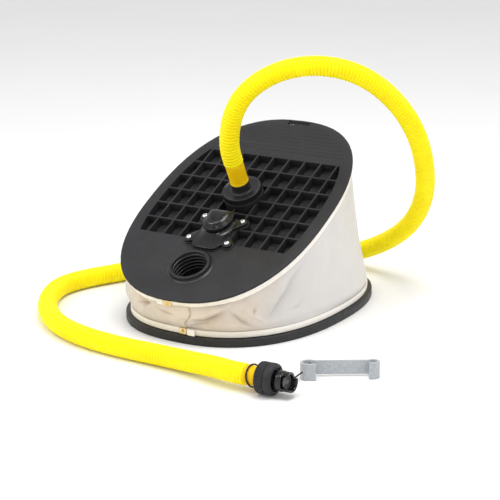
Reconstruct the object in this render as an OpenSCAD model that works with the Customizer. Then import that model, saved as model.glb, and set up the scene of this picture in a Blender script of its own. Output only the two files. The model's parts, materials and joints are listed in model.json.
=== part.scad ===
// Foot air pump: an oval base and an oval treadle joined by a fabric bellows, a spring and two disc valves
// inside, a corrugated hose with a bayonet nozzle, and a storage clip on a lanyard.
// X runs across the pump, Y from the toe end to the heel end, Z up. The origin is the middle of the
// base plate on the floor. Millimetres.

/* [Base plate] */
// Half the width of the base plate
base_a = 111; // [100:1:120]
// Half the length of the base plate
base_b = 148; // [136:1:158]
// Height of the flange that stands on the floor
flange_h = 8; // [7:0.5:9]

/* [Treadle plate] */
// Half the width of the treadle plate
plate_a = 105; // [96:1:112]
// Half the length of the treadle plate
plate_b = 146; // [136:1:152]
// Slope of the treadle when the bellows is full
tilt = 26.8; // [22:0.2:29]
// Height of the middle of the treadle's top above the floor
plate_z = 112.6; // [104:0.2:118]
// Distance of the middle of the treadle behind the middle of the base, towards the toe
plate_back = 27.8; // [22:0.2:32]

/* [Waffle grid] */
// Pitch of the ribs across the treadle
rib_pitch_u = 19.1; // [17:0.1:21]
// Pitch of the ribs along the treadle
rib_pitch_v = 23.3; // [21:0.1:24]
// Thickness of a rib
rib_t = 1.8; // [1.2:0.1:2.4]
// Depth of a pocket
pocket_depth = 10; // [8:0.5:10]

/* [Bellows] */
// Thickness of the bellows fabric
fabric_t = 1; // [0.8:0.1:1.2]
// Height of the straps that clamp the bellows
strap_h = 6; // [5:0.5:6]

/* [Ports] */
// Radius of the two ports' threaded bores
port_r = 18.2; // [17.6:0.1:18.6]
// Radius of the knurled hose collar
collar_r = 20.8; // [20.4:0.1:21.4]

/* [Hose] */
// Outside radius of the corrugated hose
hose_r = 10.2; // [9.8:0.1:10.2]
// Radius of the nozzle's ring nut
nut_r = 14.9; // [14.7:0.1:15]
// Radius of the nozzle's bayonet spigot
spigot_r = 9.7; // [9.5:0.1:10]

/* [Valves] */
// Radius of a valve disc
disc_r = 14; // [13:0.5:15]
// Radius of the guide hole that a valve stem slides in
guide_r = 2.05; // [2.03:0.01:2.08]

/* [Hidden] */
$fn = 96;

oval_power = 2.4;       // 2 is an ellipse, and more is fuller at the corners
oval_sides = 72;
cover_sides = 48;
gap = 0.3;              // between parts that move on each other
eps = 0.01;

plate_y = -plate_back;
plate_flange_t = 3;     // the treadle's top flange
plate_ring_h = 10;      // how far the clamping ring reaches below the treadle's top
ring_inset = 4.6;       // from the plate's edge to the clamping ring
ring_t = 3.4;
base_ring_inset = 7.2;
base_ring_top = flange_h + 7;
floor_t = 3.5;          // the base's floor panel
base_rib_t = 2.4;
base_rib_pitch_x = 36;
base_rib_pitch_y = 54;

grid_inset = 13;        // from the plate's edge to the waffle pockets
grid_wall = 2;
grid_toe = -58.6;       // where the pockets start and end, along the slope
grid_heel = grid_toe + 6 * rib_pitch_v;
floor_w = -pocket_depth - 2;

strap_t = 1.2;          // the straps, and how far they lie inside the plates' edges
base_strap_inset = 4.6;
top_strap_inset = 1.8;
base_strap_z = flange_h + 0.6;
top_strap_w = -plate_flange_t - 0.5 - strap_h;

tread_first = 91;       // the grooves under the heel
tread_pitch = 5.7;
tread_count = 8;
tread_w = 0.9;
tread_depth = 0.5;
tread_inset = 10;

notch_v = plate_b - 9;  // the heel's notch, which the storage clip hooks into
notch_w = 26;
notch_l = 5.5;
notch_depth = 1.6;

inflation_v = 14.2;       // the ports' places along the slope
deflation_v = -98.5;
inflation_floor = -24;
deflation_floor = -26;
port_rim = 4.5;
port_tube_r = port_r + 2.8;
collar_w = 4.7;         // the collar's foot, the top of its neck, and the end of the cuff on it
neck_w = 19.4;
cuff_end_w = 43.5;
neck_r = 9.4;
cuff_bore_r = 7.2;
cover_v = -44;          // the valve cover's middle
screw_u = 22.5;
screw_v = 16.8;
chamber_r = 16;
chamber_floor = -16;
chamber_tube_r = chamber_r + 3;
pillar_r = 4.4;         // the pillars that the cover's screws go into
pillar_h = 10;
pilot_r = 1.5;
duct_w = 21;            // the air duct from the deflation port to the valve
duct_h = 8;
duct_wall = 2.5;
duct_floor = -11.5;
web_t = 3;
valve_lift = 3;

spring_v = 60.5;          // the spring's seat under the treadle
spring_r = 22;
wire_r = 1.6;
spring_turns = 6;
boss_r = spring_r - 2.6;   // the bosses inside the spring's ends
boss_hole_r = spring_r - 5;
// the spring's axis is an arc that leaves both plates at right angles
spring_foot_z = flange_h + wire_r + 0.2;
spring_head = plate_point([0, spring_v, floor_w - wire_r - 0.2]);
spring_y = spring_head[1] + (spring_head[2] - spring_foot_z) * tan(tilt / 2);

// The hose's route, from the collar's cuff, over the heel's right, down behind the pump, round its left
// side on the floor and along the front to the nozzle
hose_route = [
  [0, -34.96, 158.28], [0, -37.22, 162.74], [0, -39.47, 167.2], [4, -48.2, 194], [17.2, -50.4, 226],
  [44.3, -41, 251.6],
  [82.2, -22.2, 263], [119.5, 7, 253], [143.8, 38.8, 223.6], [153.5, 69.6, 184.8], [150.3, 98.2, 142],
  [135, 126.4, 101.7], [109.5, 147.5, 66.7], [79, 161, 42.2], [46.6, 170, 24.7], [12, 174, 13],
  [-24, 173, 10.2], [-60, 164, 10.2], [-92, 144, 10.2], [-115, 116, 10.2], [-130, 83, 10.2],
  [-141, 50, 10.2], [-153, 16, 10.2], [-167, -17, 10.2], [-181, -49, 10.2], [-186.5, -83, 10.2],
  [-175.5, -118, 10.2], [-154, -150, 10.2], [-122.3, -179.8, 10.2], [-84.7, -199, 10.2],
  [-44, -208.3, 10.2], [-4, -210.7, 10.2], [36, -212, 11], [73.5, -216, 12.8], [102, -221.2, 15],
  [121.54, -222.93, 15], [126.54, -222.63, 15], [131.53, -222.32, 15]
];
nozzle_at = [145, -221.5, 15];   // the middle of the ring nut's back face
nozzle_yaw = 3.5;
cuff_r = 9.2;
cuff_back = 13;         // how far the cuff reaches out of the back of the nut
jaw_z = 25.4;           // where the spigot's bayonet jaw starts, and where it ends
jaw_end = 34.5;

// The lanyard's route: once round the nozzle's cuff, then over the floor into the clip's rolled end
lanyard_r = 0.9;
lanyard_loop = cuff_r + lanyard_r + 0.25;
lean_mid = -6.5;        // the turn lies askew round the cuff, centred this far behind the ring nut
lean = 2.5;
lanyard_route = [
  [142.7, -208.2, 12], [145.2, -205.2, 5.6], [149.1, -200.6, 2], [153, -195, 1.2], [156, -189, 2.2],
  [159, -182, 4.6], [161.4, -175.5, 7.2], [163, -170.4, 8.6]
];
clip_at = [166.3, -157.1, 0];  // the left end of the back of the clip's bar
clip_yaw = 33.2;
clip_h = 16.2;
clip_bar_z = 2;         // the bar's lower and upper edges
clip_bar_top = 15.6;
clip_roll_r = 7.2;
clip_hook_r = 5.9;
clip_bar_l = 51;
clip_t = 2.5;
knot_at = [163.9, -167.1, 9];

black = [0.13, 0.13, 0.14];
gloss_black = [0.05, 0.05, 0.055];
cream = [0.93, 0.91, 0.86];
gold = [0.85, 0.68, 0.35];
yellow = [0.98, 0.85, 0.02];
dark_yellow = [0.88, 0.68, 0.02];
grey = [0.62, 0.64, 0.66];
steel = [0.78, 0.78, 0.8];

// ---- Helpers ----

function side(c, power) = sign(c) * pow(abs(c), 2 / power);
function oval_points(a, b) =
  [for (i = [0:oval_sides - 1]) let (t = 360 * i / oval_sides)
    [a * side(cos(t), oval_power), b * side(sin(t), oval_power)]];

module plate_oval(inset = 0) { polygon(oval_points(plate_a - inset, plate_b - inset)); }

module base_oval(inset = 0) { polygon(oval_points(base_a - inset, base_b - inset)); }

// The treadle's own frame: u across, v up the slope, w out of its top
module on_plate(at = [0, 0, 0]) {
  translate([0, plate_y, plate_z]) rotate([tilt, 0, 0]) translate(at) children();
}

function plate_point(p) =
  [p[0], plate_y + p[1] * cos(tilt) - p[2] * sin(tilt), plate_z + p[1] * sin(tilt) + p[2] * cos(tilt)];

// The nozzle's own frame: Z along its axis, out of its tip
module on_nozzle(at = [0, 0, 0]) {
  translate(nozzle_at) rotate([0, 0, nozzle_yaw]) rotate([0, 90, 0]) translate(at) children();
}

// The clip's own frame: X along its bar, Y from the bar towards the open side
module on_clip() { translate(clip_at) rotate([0, 0, clip_yaw]) mirror([0, 1, 0]) children(); }

module ring(r_out, r_in, h) {
  difference() {
    cylinder(r = r_out, h = h);
    translate([0, 0, -1]) cylinder(r = r_in, h = h + 2);
  }
}

module torus(r, wire) { rotate_extrude() translate([r, 0]) circle(r = wire, $fn = 24); }

function unit(v) = v / norm(v);

// A smooth curve through hand-chosen points
function spline(p, i, t) =
  let (a = p[max(i - 1, 0)], b = p[i], c = p[i + 1], d = p[min(i + 2, len(p) - 1)])
  0.5 * (2 * b + (c - a) * t + (2 * a - 5 * b + 4 * c - d) * t * t + (3 * b - a - 3 * c + d) * t * t * t);
function smooth(p, steps) =
  concat([for (i = [0:len(p) - 2]) for (s = [0:steps - 1]) spline(p, i, s / steps)], [p[len(p) - 1]]);

// Frames that follow a path without twisting
function tangent(p, i) = unit(p[min(i + 1, len(p) - 1)] - p[max(i - 1, 0)]);
function carried(p, i, side_v) =
  i == len(p) ? [] :
  let (t = tangent(p, i), v = unit(side_v - (side_v * t) * t))
  concat([[v, cross(t, v)]], carried(p, i + 1, v));

// A round tube with flat ends, as one solid
module tube(path, r, sides, first_side) {
  frames = carried(path, 0, first_side);
  points = [for (i = [0:len(path) - 1]) for (k = [0:sides - 1]) let (a = 360 * k / sides)
    path[i] + r * (cos(a) * frames[i][0] + sin(a) * frames[i][1])];
  walls = [for (i = [0:len(path) - 2]) for (k = [0:sides - 1]) let (n = (k + 1) % sides)
    [i * sides + k, (i + 1) * sides + k, (i + 1) * sides + n, i * sides + n]];
  last = (len(path) - 1) * sides;
  polyhedron(points,
    concat([[for (k = [0:sides - 1]) k]], walls, [[for (k = [sides - 1:-1:0]) last + k]]));
}

// A solid through level loops of the same length, from the lowest to the highest
module loft(loops) {
  n = len(loops[0]);
  last = (len(loops) - 1) * n;
  walls = [for (j = [0:len(loops) - 2]) for (i = [0:n - 1]) let (i2 = (i + 1) % n)
    each [[j * n + i, (j + 1) * n + i, (j + 1) * n + i2], [j * n + i, (j + 1) * n + i2, j * n + i2]]];
  polyhedron([for (loop = loops) for (p = loop) p],
    concat([[for (i = [0:n - 1]) i]], walls, [[for (i = [n - 1:-1:0]) last + i]]));
}

// A closed wall through a list of loops that comes back to its first loop
module wall(loops) {
  n = len(loops[0]);
  m = len(loops);
  points = [for (loop = loops) for (p = loop) p];
  faces = [for (j = [0:m - 1]) for (i = [0:n - 1])
    let (j2 = (j + 1) % m, i2 = (i + 1) % n)
    each [[j * n + i, j2 * n + i, j2 * n + i2], [j * n + i, j2 * n + i2, j * n + i2]]];
  polyhedron(points, faces);
}

function base_loop(inset, z) = [for (p = oval_points(base_a - inset, base_b - inset)) [p[0], p[1], z]];
function top_loop(inset, w) =
  [for (p = oval_points(plate_a - inset, plate_b - inset)) plate_point([p[0], p[1], w])];

// ---- Base ----

module base_plate() {
  color(black) {
    difference() {
      union() {
        linear_extrude(flange_h) base_oval();
        linear_extrude(base_ring_top) base_oval(base_ring_inset);
      }
      // the tray inside the clamping ring
      translate([0, 0, flange_h]) linear_extrude(20) base_oval(base_ring_inset + ring_t);
      // the hollow underneath, between stiffening ribs
      difference() {
        translate([0, 0, -1]) linear_extrude(flange_h - floor_t + 1) base_oval(10);
        for (i = [-2:2]) {
          translate([i * base_rib_pitch_x - base_rib_t / 2, -base_b, -1]) cube([base_rib_t, 2 * base_b, 20]);
          translate([-base_a, i * base_rib_pitch_y - base_rib_t / 2, -1]) cube([2 * base_a, base_rib_t, 20]);
        }
      }
    }
    // the boss inside the spring's foot
    translate([0, spring_y, flange_h - 1]) ring(boss_r, boss_hole_r, 8);
  }
}

module strap(is_base) {
  color(cream) linear_extrude(strap_h) difference() {
    if (is_base) base_oval(base_strap_inset); else plate_oval(top_strap_inset);
    if (is_base) base_oval(base_strap_inset + strap_t); else plate_oval(top_strap_inset + strap_t);
  }
}

module base_band() { translate([0, 0, base_strap_z]) strap(true); }

// A flat piece that lies on a strap at the toe, from one x to another
module strap_piece(x0, x1, t, h) { translate([x0, -t, (strap_h - h) / 2]) cube([x1 - x0, t, h]); }

module base_band_crimp() {
  color(gold) translate([0, base_strap_inset - 0.1 - base_b, base_strap_z])
    strap_piece(5, 13.6, 1.5, strap_h + 0.8);
}

module base_band_keeper() {
  color(cream) translate([0, base_strap_inset - 0.1 - base_b, base_strap_z])
    strap_piece(14.2, 23.4, 1.7, strap_h + 0.6);
}

module bellows() {
  low = flange_h + gap;
  bend = base_ring_top + 0.2;
  out_in = 6;
  top_in = 3.3;
  color(cream) wall([
    base_loop(out_in, low), base_loop(out_in, bend),
    top_loop(top_in, -plate_ring_h), top_loop(top_in, -plate_flange_t - gap),
    top_loop(top_in + fabric_t, -plate_flange_t - gap), top_loop(top_in + fabric_t, -plate_ring_h),
    base_loop(out_in + fabric_t, bend), base_loop(out_in + fabric_t, low)
  ]);
}

module return_spring() {
  bend_r = (spring_head[2] - spring_foot_z) / sin(tilt);
  steps = spring_turns * 12;
  function coil(i) =
    let (s = i / steps, a = tilt * s, turn = 360 * spring_turns * s,
      across = spring_r * cos(turn), along = spring_r * sin(turn))
    [across, spring_y - bend_r * (1 - cos(a)) + along * cos(a),
      spring_foot_z + bend_r * sin(a) + along * sin(a)];
  color(steel) tube([for (i = [0:steps]) coil(i)], wire_r, 8, [1, 0, 0]);
}

// ---- Treadle ----

// The waffle's pockets, before the edge of the grid and the bosses cut into them
module pocket_cells() {
  for (i = [-5:4], j = [0:5])
    translate([i * rib_pitch_u + rib_t / 2, grid_toe + j * rib_pitch_v + rib_t / 2, -pocket_depth])
      cube([rib_pitch_u - rib_t, rib_pitch_v - rib_t, pocket_depth + 1]);
}

module pocket_bosses() {
  translate([0, inflation_v, -20]) cylinder(r = port_tube_r, h = 22);
  translate([0, cover_v, -20]) cylinder(r = chamber_tube_r, h = 22);
  translate([0, cover_v, -20]) linear_extrude(22) cover_outline(0.8);
}

// The four places of the cover's screws, round the cover's middle
module at_screws() {
  for (su = [-1, 1], sv = [-1, 1]) translate([su * screw_u, sv * screw_v, 0]) children();
}

// A floor with a spider of three arms that guides a valve's stem
module valve_web(r) {
  difference() {
    cylinder(r = r, h = web_t);
    difference() {
      translate([0, 0, -1]) cylinder(r = disc_r - 3, h = web_t + 2);
      translate([0, 0, -1]) cylinder(r = 4.6, h = web_t + 2);
      for (a = [90, 210, 330]) rotate([0, 0, a]) translate([0, -1.3, -1]) cube([disc_r, 2.6, web_t + 2]);
    }
    translate([0, 0, -1]) cylinder(r = guide_r, h = web_t + 2);
  }
}

module top_plate() {
  color(black) on_plate() {
    difference() {
      union() {
        // the top flange, the ring that the bellows is clamped to, and the waffle's block
        translate([0, 0, -plate_flange_t]) linear_extrude(plate_flange_t) plate_oval();
        translate([0, 0, -plate_ring_h]) linear_extrude(plate_ring_h - plate_flange_t + eps) difference() {
          plate_oval(ring_inset);
          plate_oval(ring_inset + ring_t);
        }
        translate([0, 0, floor_w]) linear_extrude(-floor_w - plate_flange_t + eps) intersection() {
          plate_oval(grid_inset - grid_wall);
          translate([-plate_a, grid_toe - grid_wall])
            square([2 * plate_a, grid_heel - grid_toe + 2 * grid_wall]);
        }
        // the ports' and the valve's tubes, the screws' pillars and the spring's boss
        translate([0, inflation_v, inflation_floor])
          cylinder(r = port_tube_r, h = port_rim - inflation_floor);
        translate([0, deflation_v, deflation_floor])
          cylinder(r = port_tube_r, h = port_rim - deflation_floor);
        translate([0, cover_v, chamber_floor]) cylinder(r = chamber_tube_r, h = -chamber_floor);
        translate([0, cover_v, -pillar_h]) at_screws() cylinder(r = pillar_r, h = pillar_h);
        translate([-duct_w / 2 - duct_wall, deflation_v, duct_floor - duct_wall])
          cube([duct_w + 2 * duct_wall, cover_v - deflation_v, duct_h + 2 * duct_wall - 1]);
        translate([0, spring_v, floor_w - 5]) ring(boss_r, boss_hole_r, 6);
      }
      intersection() {
        difference() { pocket_cells(); pocket_bosses(); }
        translate([0, 0, -20]) linear_extrude(30) plate_oval(grid_inset);
      }
      translate([0, inflation_v, inflation_floor + web_t]) cylinder(r = port_r, h = 40);
      translate([0, inflation_v, inflation_floor - 1]) cylinder(r = disc_r - 3, h = 10);
      translate([0, deflation_v, deflation_floor + web_t]) cylinder(r = port_r, h = 40);
      translate([0, cover_v, chamber_floor + web_t]) cylinder(r = chamber_r, h = 40);
      translate([0, cover_v, chamber_floor - 1]) cylinder(r = disc_r - 3, h = 10);
      translate([-duct_w / 2, deflation_v, duct_floor]) cube([duct_w, cover_v - deflation_v, duct_h]);
      translate([0, cover_v, 1 - pillar_h]) at_screws() cylinder(r = pilot_r, h = 12);
      // the grooves under the heel
      intersection() {
        for (i = [0:tread_count - 1])
          translate([-plate_a, tread_first + i * tread_pitch, -tread_depth])
            cube([2 * plate_a, tread_w, 2]);
        translate([0, 0, -2]) linear_extrude(4) plate_oval(tread_inset);
      }
      // the heel's notch, with a hole right through at its left
      translate([-notch_w / 2, notch_v, -notch_depth]) cube([notch_w, notch_l, 3]);
      translate([-notch_w / 2, notch_v, -plate_flange_t - 1]) cube([6.5, 4.4, 6]);
    }
    // the webs that the valves sit on
    translate([0, inflation_v, inflation_floor]) valve_web(port_r + 1);
    translate([0, cover_v, chamber_floor]) valve_web(chamber_r + 1);
  }
}

module top_band() { on_plate([0, 0, top_strap_w]) strap(false); }

module top_band_crimp() {
  color(gold) on_plate([0, top_strap_inset - 0.1 - plate_b, top_strap_w])
    strap_piece(-6, 3, 1.5, strap_h + 0.6);
}

module top_band_keeper() {
  color(cream) on_plate([0, top_strap_inset - 0.1 - plate_b, top_strap_w])
    strap_piece(-14.5, -6.6, 1.5, strap_h + 0.4);
}

// ---- Inlet valve and its cover ----

// The cover's level outline: square across its heel end, and rounder the lower the power at its toe end
function tombstone(half, toe, heel, mid, power) =
  [for (i = [0:cover_sides - 1]) let (t = 360 * i / cover_sides, p = sin(t) < 0 ? power : 5)
    [half * side(cos(t), p), mid + (sin(t) < 0 ? mid - toe : heel - mid) * side(sin(t), p)]];
function cover_slice(half, toe, heel, mid, power, w) =
  [for (p = tombstone(half, toe, heel, mid, power)) [p[0], p[1], w]];

// The outline that the cover and its gasket share: a skirt with an ear at each screw
module cover_outline(grow = 0) {
  offset(delta = grow) {
    polygon(tombstone(17.6, -28, 22, 4, 4.5));
    for (sv = [-1, 1]) translate([0, sv * screw_v]) square([2 * screw_u, 8.6], center = true);
    at_screws() circle(r = 5, $fn = 48);
  }
}

module cover_gasket() {
  color(gloss_black) on_plate([0, cover_v, 0.1]) difference() {
    linear_extrude(1) cover_outline(0.4);
    translate([0, 0, -1]) cylinder(r = chamber_r, h = 4);
    translate([0, 0, -1]) at_screws() cylinder(r = 1.7, h = 4);
  }
}

// The sloping skirt and the hood, shrunk by the wall's thickness for the hollow inside them
module cover_body(shrink = 0, foot = 0) {
  loft([
    cover_slice(17.6 - shrink, -28 + shrink, 22 - shrink, 4, 4.5, foot),
    cover_slice(17.6 - shrink, -28 + shrink, 22 - shrink, 4, 4.5, 2.6 - shrink / 2),
    cover_slice(14.9 - shrink, -10 + shrink, 21.9 - shrink, 6, 2.4, 7.2 - shrink)
  ]);
  loft([
    cover_slice(14.5 - shrink, -8.5 + shrink, 21.5 - shrink, 6, 2, 4 - shrink),
    cover_slice(13.8 - shrink, -8 + shrink, 21.2 - shrink, 6, 2, 13.2 - shrink),
    cover_slice(10.4 - shrink, -4.5 + shrink, 18.6 - shrink, 6, 2, 18.2 - shrink)
  ]);
}

module valve_cover() {
  color(gloss_black) on_plate([0, cover_v, 1.2]) difference() {
    union() {
      linear_extrude(2.6) cover_outline();
      cover_body();
    }
    cover_body(1.8, -1);
    // the slots that air comes in by, in the end that faces the hose
    for (u = [-9:6:9]) translate([u - 1.2, 16, 5]) cube([2.4, 10, 7]);
    translate([0, 0, -1]) at_screws() cylinder(r = 1.7, h = 6);
  }
}

module cover_screws() {
  color(steel) on_plate([0, cover_v, 3.9]) at_screws() rotate_extrude() polygon([
    [0, -11.6], [1, -11.6], [1.45, -10], [1.45, 0], [2.9, 0], [2.9, 1], [2.2, 1.9], [0, 2.3]
  ]);
}

// A rubber disc on a stem, with a barb that stops it at the end of its lift. The disc lies on z = 0
module disc_valve() {
  color(gloss_black) rotate_extrude() polygon([
    [0, -web_t - valve_lift - 2], [1, -web_t - valve_lift - 2], [3, -web_t - valve_lift - 0.2],
    [1.98, -web_t - valve_lift - 0.2], [1.98, 0.1], [disc_r, 0.1], [disc_r, 1.3], [2, 2], [0, 2]
  ]);
}

module inlet_valve() { on_plate([0, cover_v, chamber_floor]) mirror([0, 0, 1]) disc_valve(); }

module outlet_valve() { on_plate([0, inflation_v, inflation_floor + web_t]) disc_valve(); }

// ---- Hose collar ----

// Grooves for the fingers round a grip
module knurl(r, h, count) {
  for (i = [0:count - 1]) rotate([0, 0, 360 * i / count]) translate([r, 0, 0])
    cylinder(r = 0.6, h = h, $fn = 8);
}

module hose_collar() {
  color(black) on_plate([0, inflation_v, 0]) difference() {
    rotate_extrude() polygon([
      [neck_r - 1.2, -15], [port_r - 2.7, -15], [port_r - 2.7, -5.2], [port_r - gap, -5.2],
      [port_r - gap, collar_w], [collar_r - 0.8, collar_w], [collar_r, collar_w + 0.9],
      [collar_r, collar_w + 5.7], [collar_r - 0.8, collar_w + 6.6], [collar_r - 1.9, collar_w + 6.7],
      [collar_r - 3, collar_w + 5.6], [neck_r + 1.4, collar_w + 5], [neck_r + 0.3, collar_w + 5.6],
      [neck_r, collar_w + 7], [neck_r, neck_w], [neck_r - 1.2, neck_w]
    ]);
    translate([0, 0, collar_w + 0.4]) knurl(collar_r + 0.25, 12, 56);
  }
}

module collar_seal() { color(gloss_black) on_plate([0, inflation_v, -6.6]) torus(port_r - 1.45, 1.15); }

module collar_cuff() {
  length = cuff_end_w - neck_w - 0.1;
  color(dark_yellow) on_plate([0, inflation_v, neck_w + 0.1])
    rotate_extrude() polygon([
      [cuff_bore_r, 0], [9.2, 0], [9.8, 0.5], [9.8, 1.9], [9.4, 2.8], [9.4, length], [cuff_bore_r, length]
    ]);
}

// ---- Hose and nozzle ----

module hose() { color(yellow) tube(smooth(hose_route, 2), hose_r, 12, [1, 0, 0]); }

module nozzle_cuff() {
  color(dark_yellow) on_nozzle([0, 0, -cuff_back])
    ring(cuff_r, cuff_bore_r, cuff_back + 4.6);
}

module ring_nut() {
  color(black) on_nozzle() difference() {
    rotate_extrude() polygon([
      [cuff_r + gap, 0], [nut_r - 1.8, 0], [nut_r, 2], [nut_r, 9], [nut_r - 0.4, 9.2], [nut_r - 0.4, 9.6],
      [nut_r, 9.9], [nut_r, 13.4], [nut_r - 0.6, 15.2], [nut_r - 2, 16.7], [nut_r - 3.4, 17.3], [11, 17.3],
      [11, 13], [10.6, 13], [10.6, 12.1], [12.4, 12.1], [12.4, 5], [cuff_r + gap, 5]
    ]);
    translate([0, 0, -1]) knurl(nut_r + 0.2, 9.6, 44);
  }
}

module nozzle_body() {
  jaw_r = spigot_r - 0.5;
  color(gloss_black) on_nozzle() difference() {
    rotate_extrude() polygon([
      [7, 5.4], [12, 5.4], [12, 11.7], [10.2, 11.8], [10.2, 13.2], [8.6, 13.4], [8.6, 19.6], [spigot_r, 19.9],
      [spigot_r, jaw_z - 0.2], [jaw_r, jaw_z], [jaw_r, jaw_end - 1], [jaw_r - 0.8, jaw_end],
      [7.6, jaw_end], [7.2, jaw_end - 0.8], [7.2, jaw_z - 1], [7, jaw_z - 1.2]
    ]);
    // the bayonet's mouth, which leaves a C-shaped jaw: its near side is open, and its top is shorter
    translate([-7.5, -13, jaw_z]) cube([12, 13, 12]);
    translate([-13, -13, jaw_end - 3.6]) cube([17.5, 13, 12]);
    translate([-13, -1, jaw_end - 3.6]) cube([11.5, 14, 12]);
  }
}

module nozzle_core() {
  color(gloss_black) on_nozzle() {
    rotate_extrude() polygon([
      [0, 8], [3.8, 8], [3.8, 26], [6, 26.2], [6.9, 26.6], [6.9, 27.8], [6.4, 28.3], [2.6, 28.5], [2, 29.2],
      [0, 29.4]
    ]);
    for (a = [0, 120, 240]) rotate([0, 0, a]) translate([3, -0.8, 8]) cube([3.9, 1.6, 6]);
  }
}

module nozzle_seal() { color(gloss_black) on_nozzle([0, 0, 14.5]) torus(9.8, 1); }

// ---- Lanyard and storage clip ----

module lanyard() {
  // a sloping turn that starts and ends at the back of the cuff, then the run to the clip
  function turn(i) = let (a = 345 - 30 * i, yaw = nozzle_yaw, along = lean_mid + lean * cos(a + 40))
    nozzle_at + [cos(yaw) * along - sin(yaw) * lanyard_loop * cos(a),
      sin(yaw) * along + cos(yaw) * lanyard_loop * cos(a), lanyard_loop * sin(a)];
  path = smooth(concat([for (i = [0:11]) turn(i)], lanyard_route), 2);
  color(gloss_black) tube(path, lanyard_r, 8, [1, 0, 0]);
}

module lanyard_knot() {
  color(gloss_black) translate(knot_at) {
    sphere(r = 2.6, $fn = 32);
    translate([0.6, 0.4, 2]) sphere(r = 2, $fn = 32);
  }
}

module storage_clip() {
  roll = [-7.5, clip_roll_r];
  hook = [clip_bar_l + 2.4, clip_hook_r];
  color(grey) on_clip() difference() {
    union() {
      translate([-6, 0, clip_bar_z]) cube([clip_bar_l + 8, clip_t, clip_bar_top - clip_bar_z]);
      // the rolled left end and its lip
      translate([roll[0], roll[1], 0]) ring(clip_roll_r, clip_roll_r - clip_t, clip_h);
      translate([roll[0], 2 * clip_roll_r - clip_t, 0]) cube([7, clip_t, clip_h]);
      // the hooked right end, with its lip turned inwards
      translate([hook[0], hook[1], 0]) ring(clip_hook_r, clip_hook_r - clip_t, clip_h);
      translate([hook[0] - 4.5, 2 * clip_hook_r - clip_t, 0]) cube([4.5, clip_t, clip_h]);
    }
    // the gap that the plates' edges are held in
    translate([-0.5, clip_t, -1]) cube([clip_bar_l - 1, 20, 30]);
    // the lanyard's hole
    translate([roll[0], roll[1], 8]) rotate([0, 0, 142]) rotate([0, 90, 0])
      cylinder(r = 1.5, h = 10, $fn = 24);
  }
}

base_plate();
base_band();
base_band_crimp();
base_band_keeper();
bellows();
return_spring();
top_plate();
top_band();
top_band_crimp();
top_band_keeper();
valve_cover();
cover_gasket();
cover_screws();
inlet_valve();
hose_collar();
collar_seal();
collar_cuff();
outlet_valve();
hose();
nozzle_cuff();
ring_nut();
nozzle_body();
nozzle_core();
nozzle_seal();
lanyard();
lanyard_knot();
storage_clip();
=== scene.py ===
"""Foot air pump: the visual model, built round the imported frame.

Lengths are in metres, apart from the profiles, routes and boxes that are given in millimetres."""

import json
from math import atan2, cos, pi, radians, sin, tau

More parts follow.
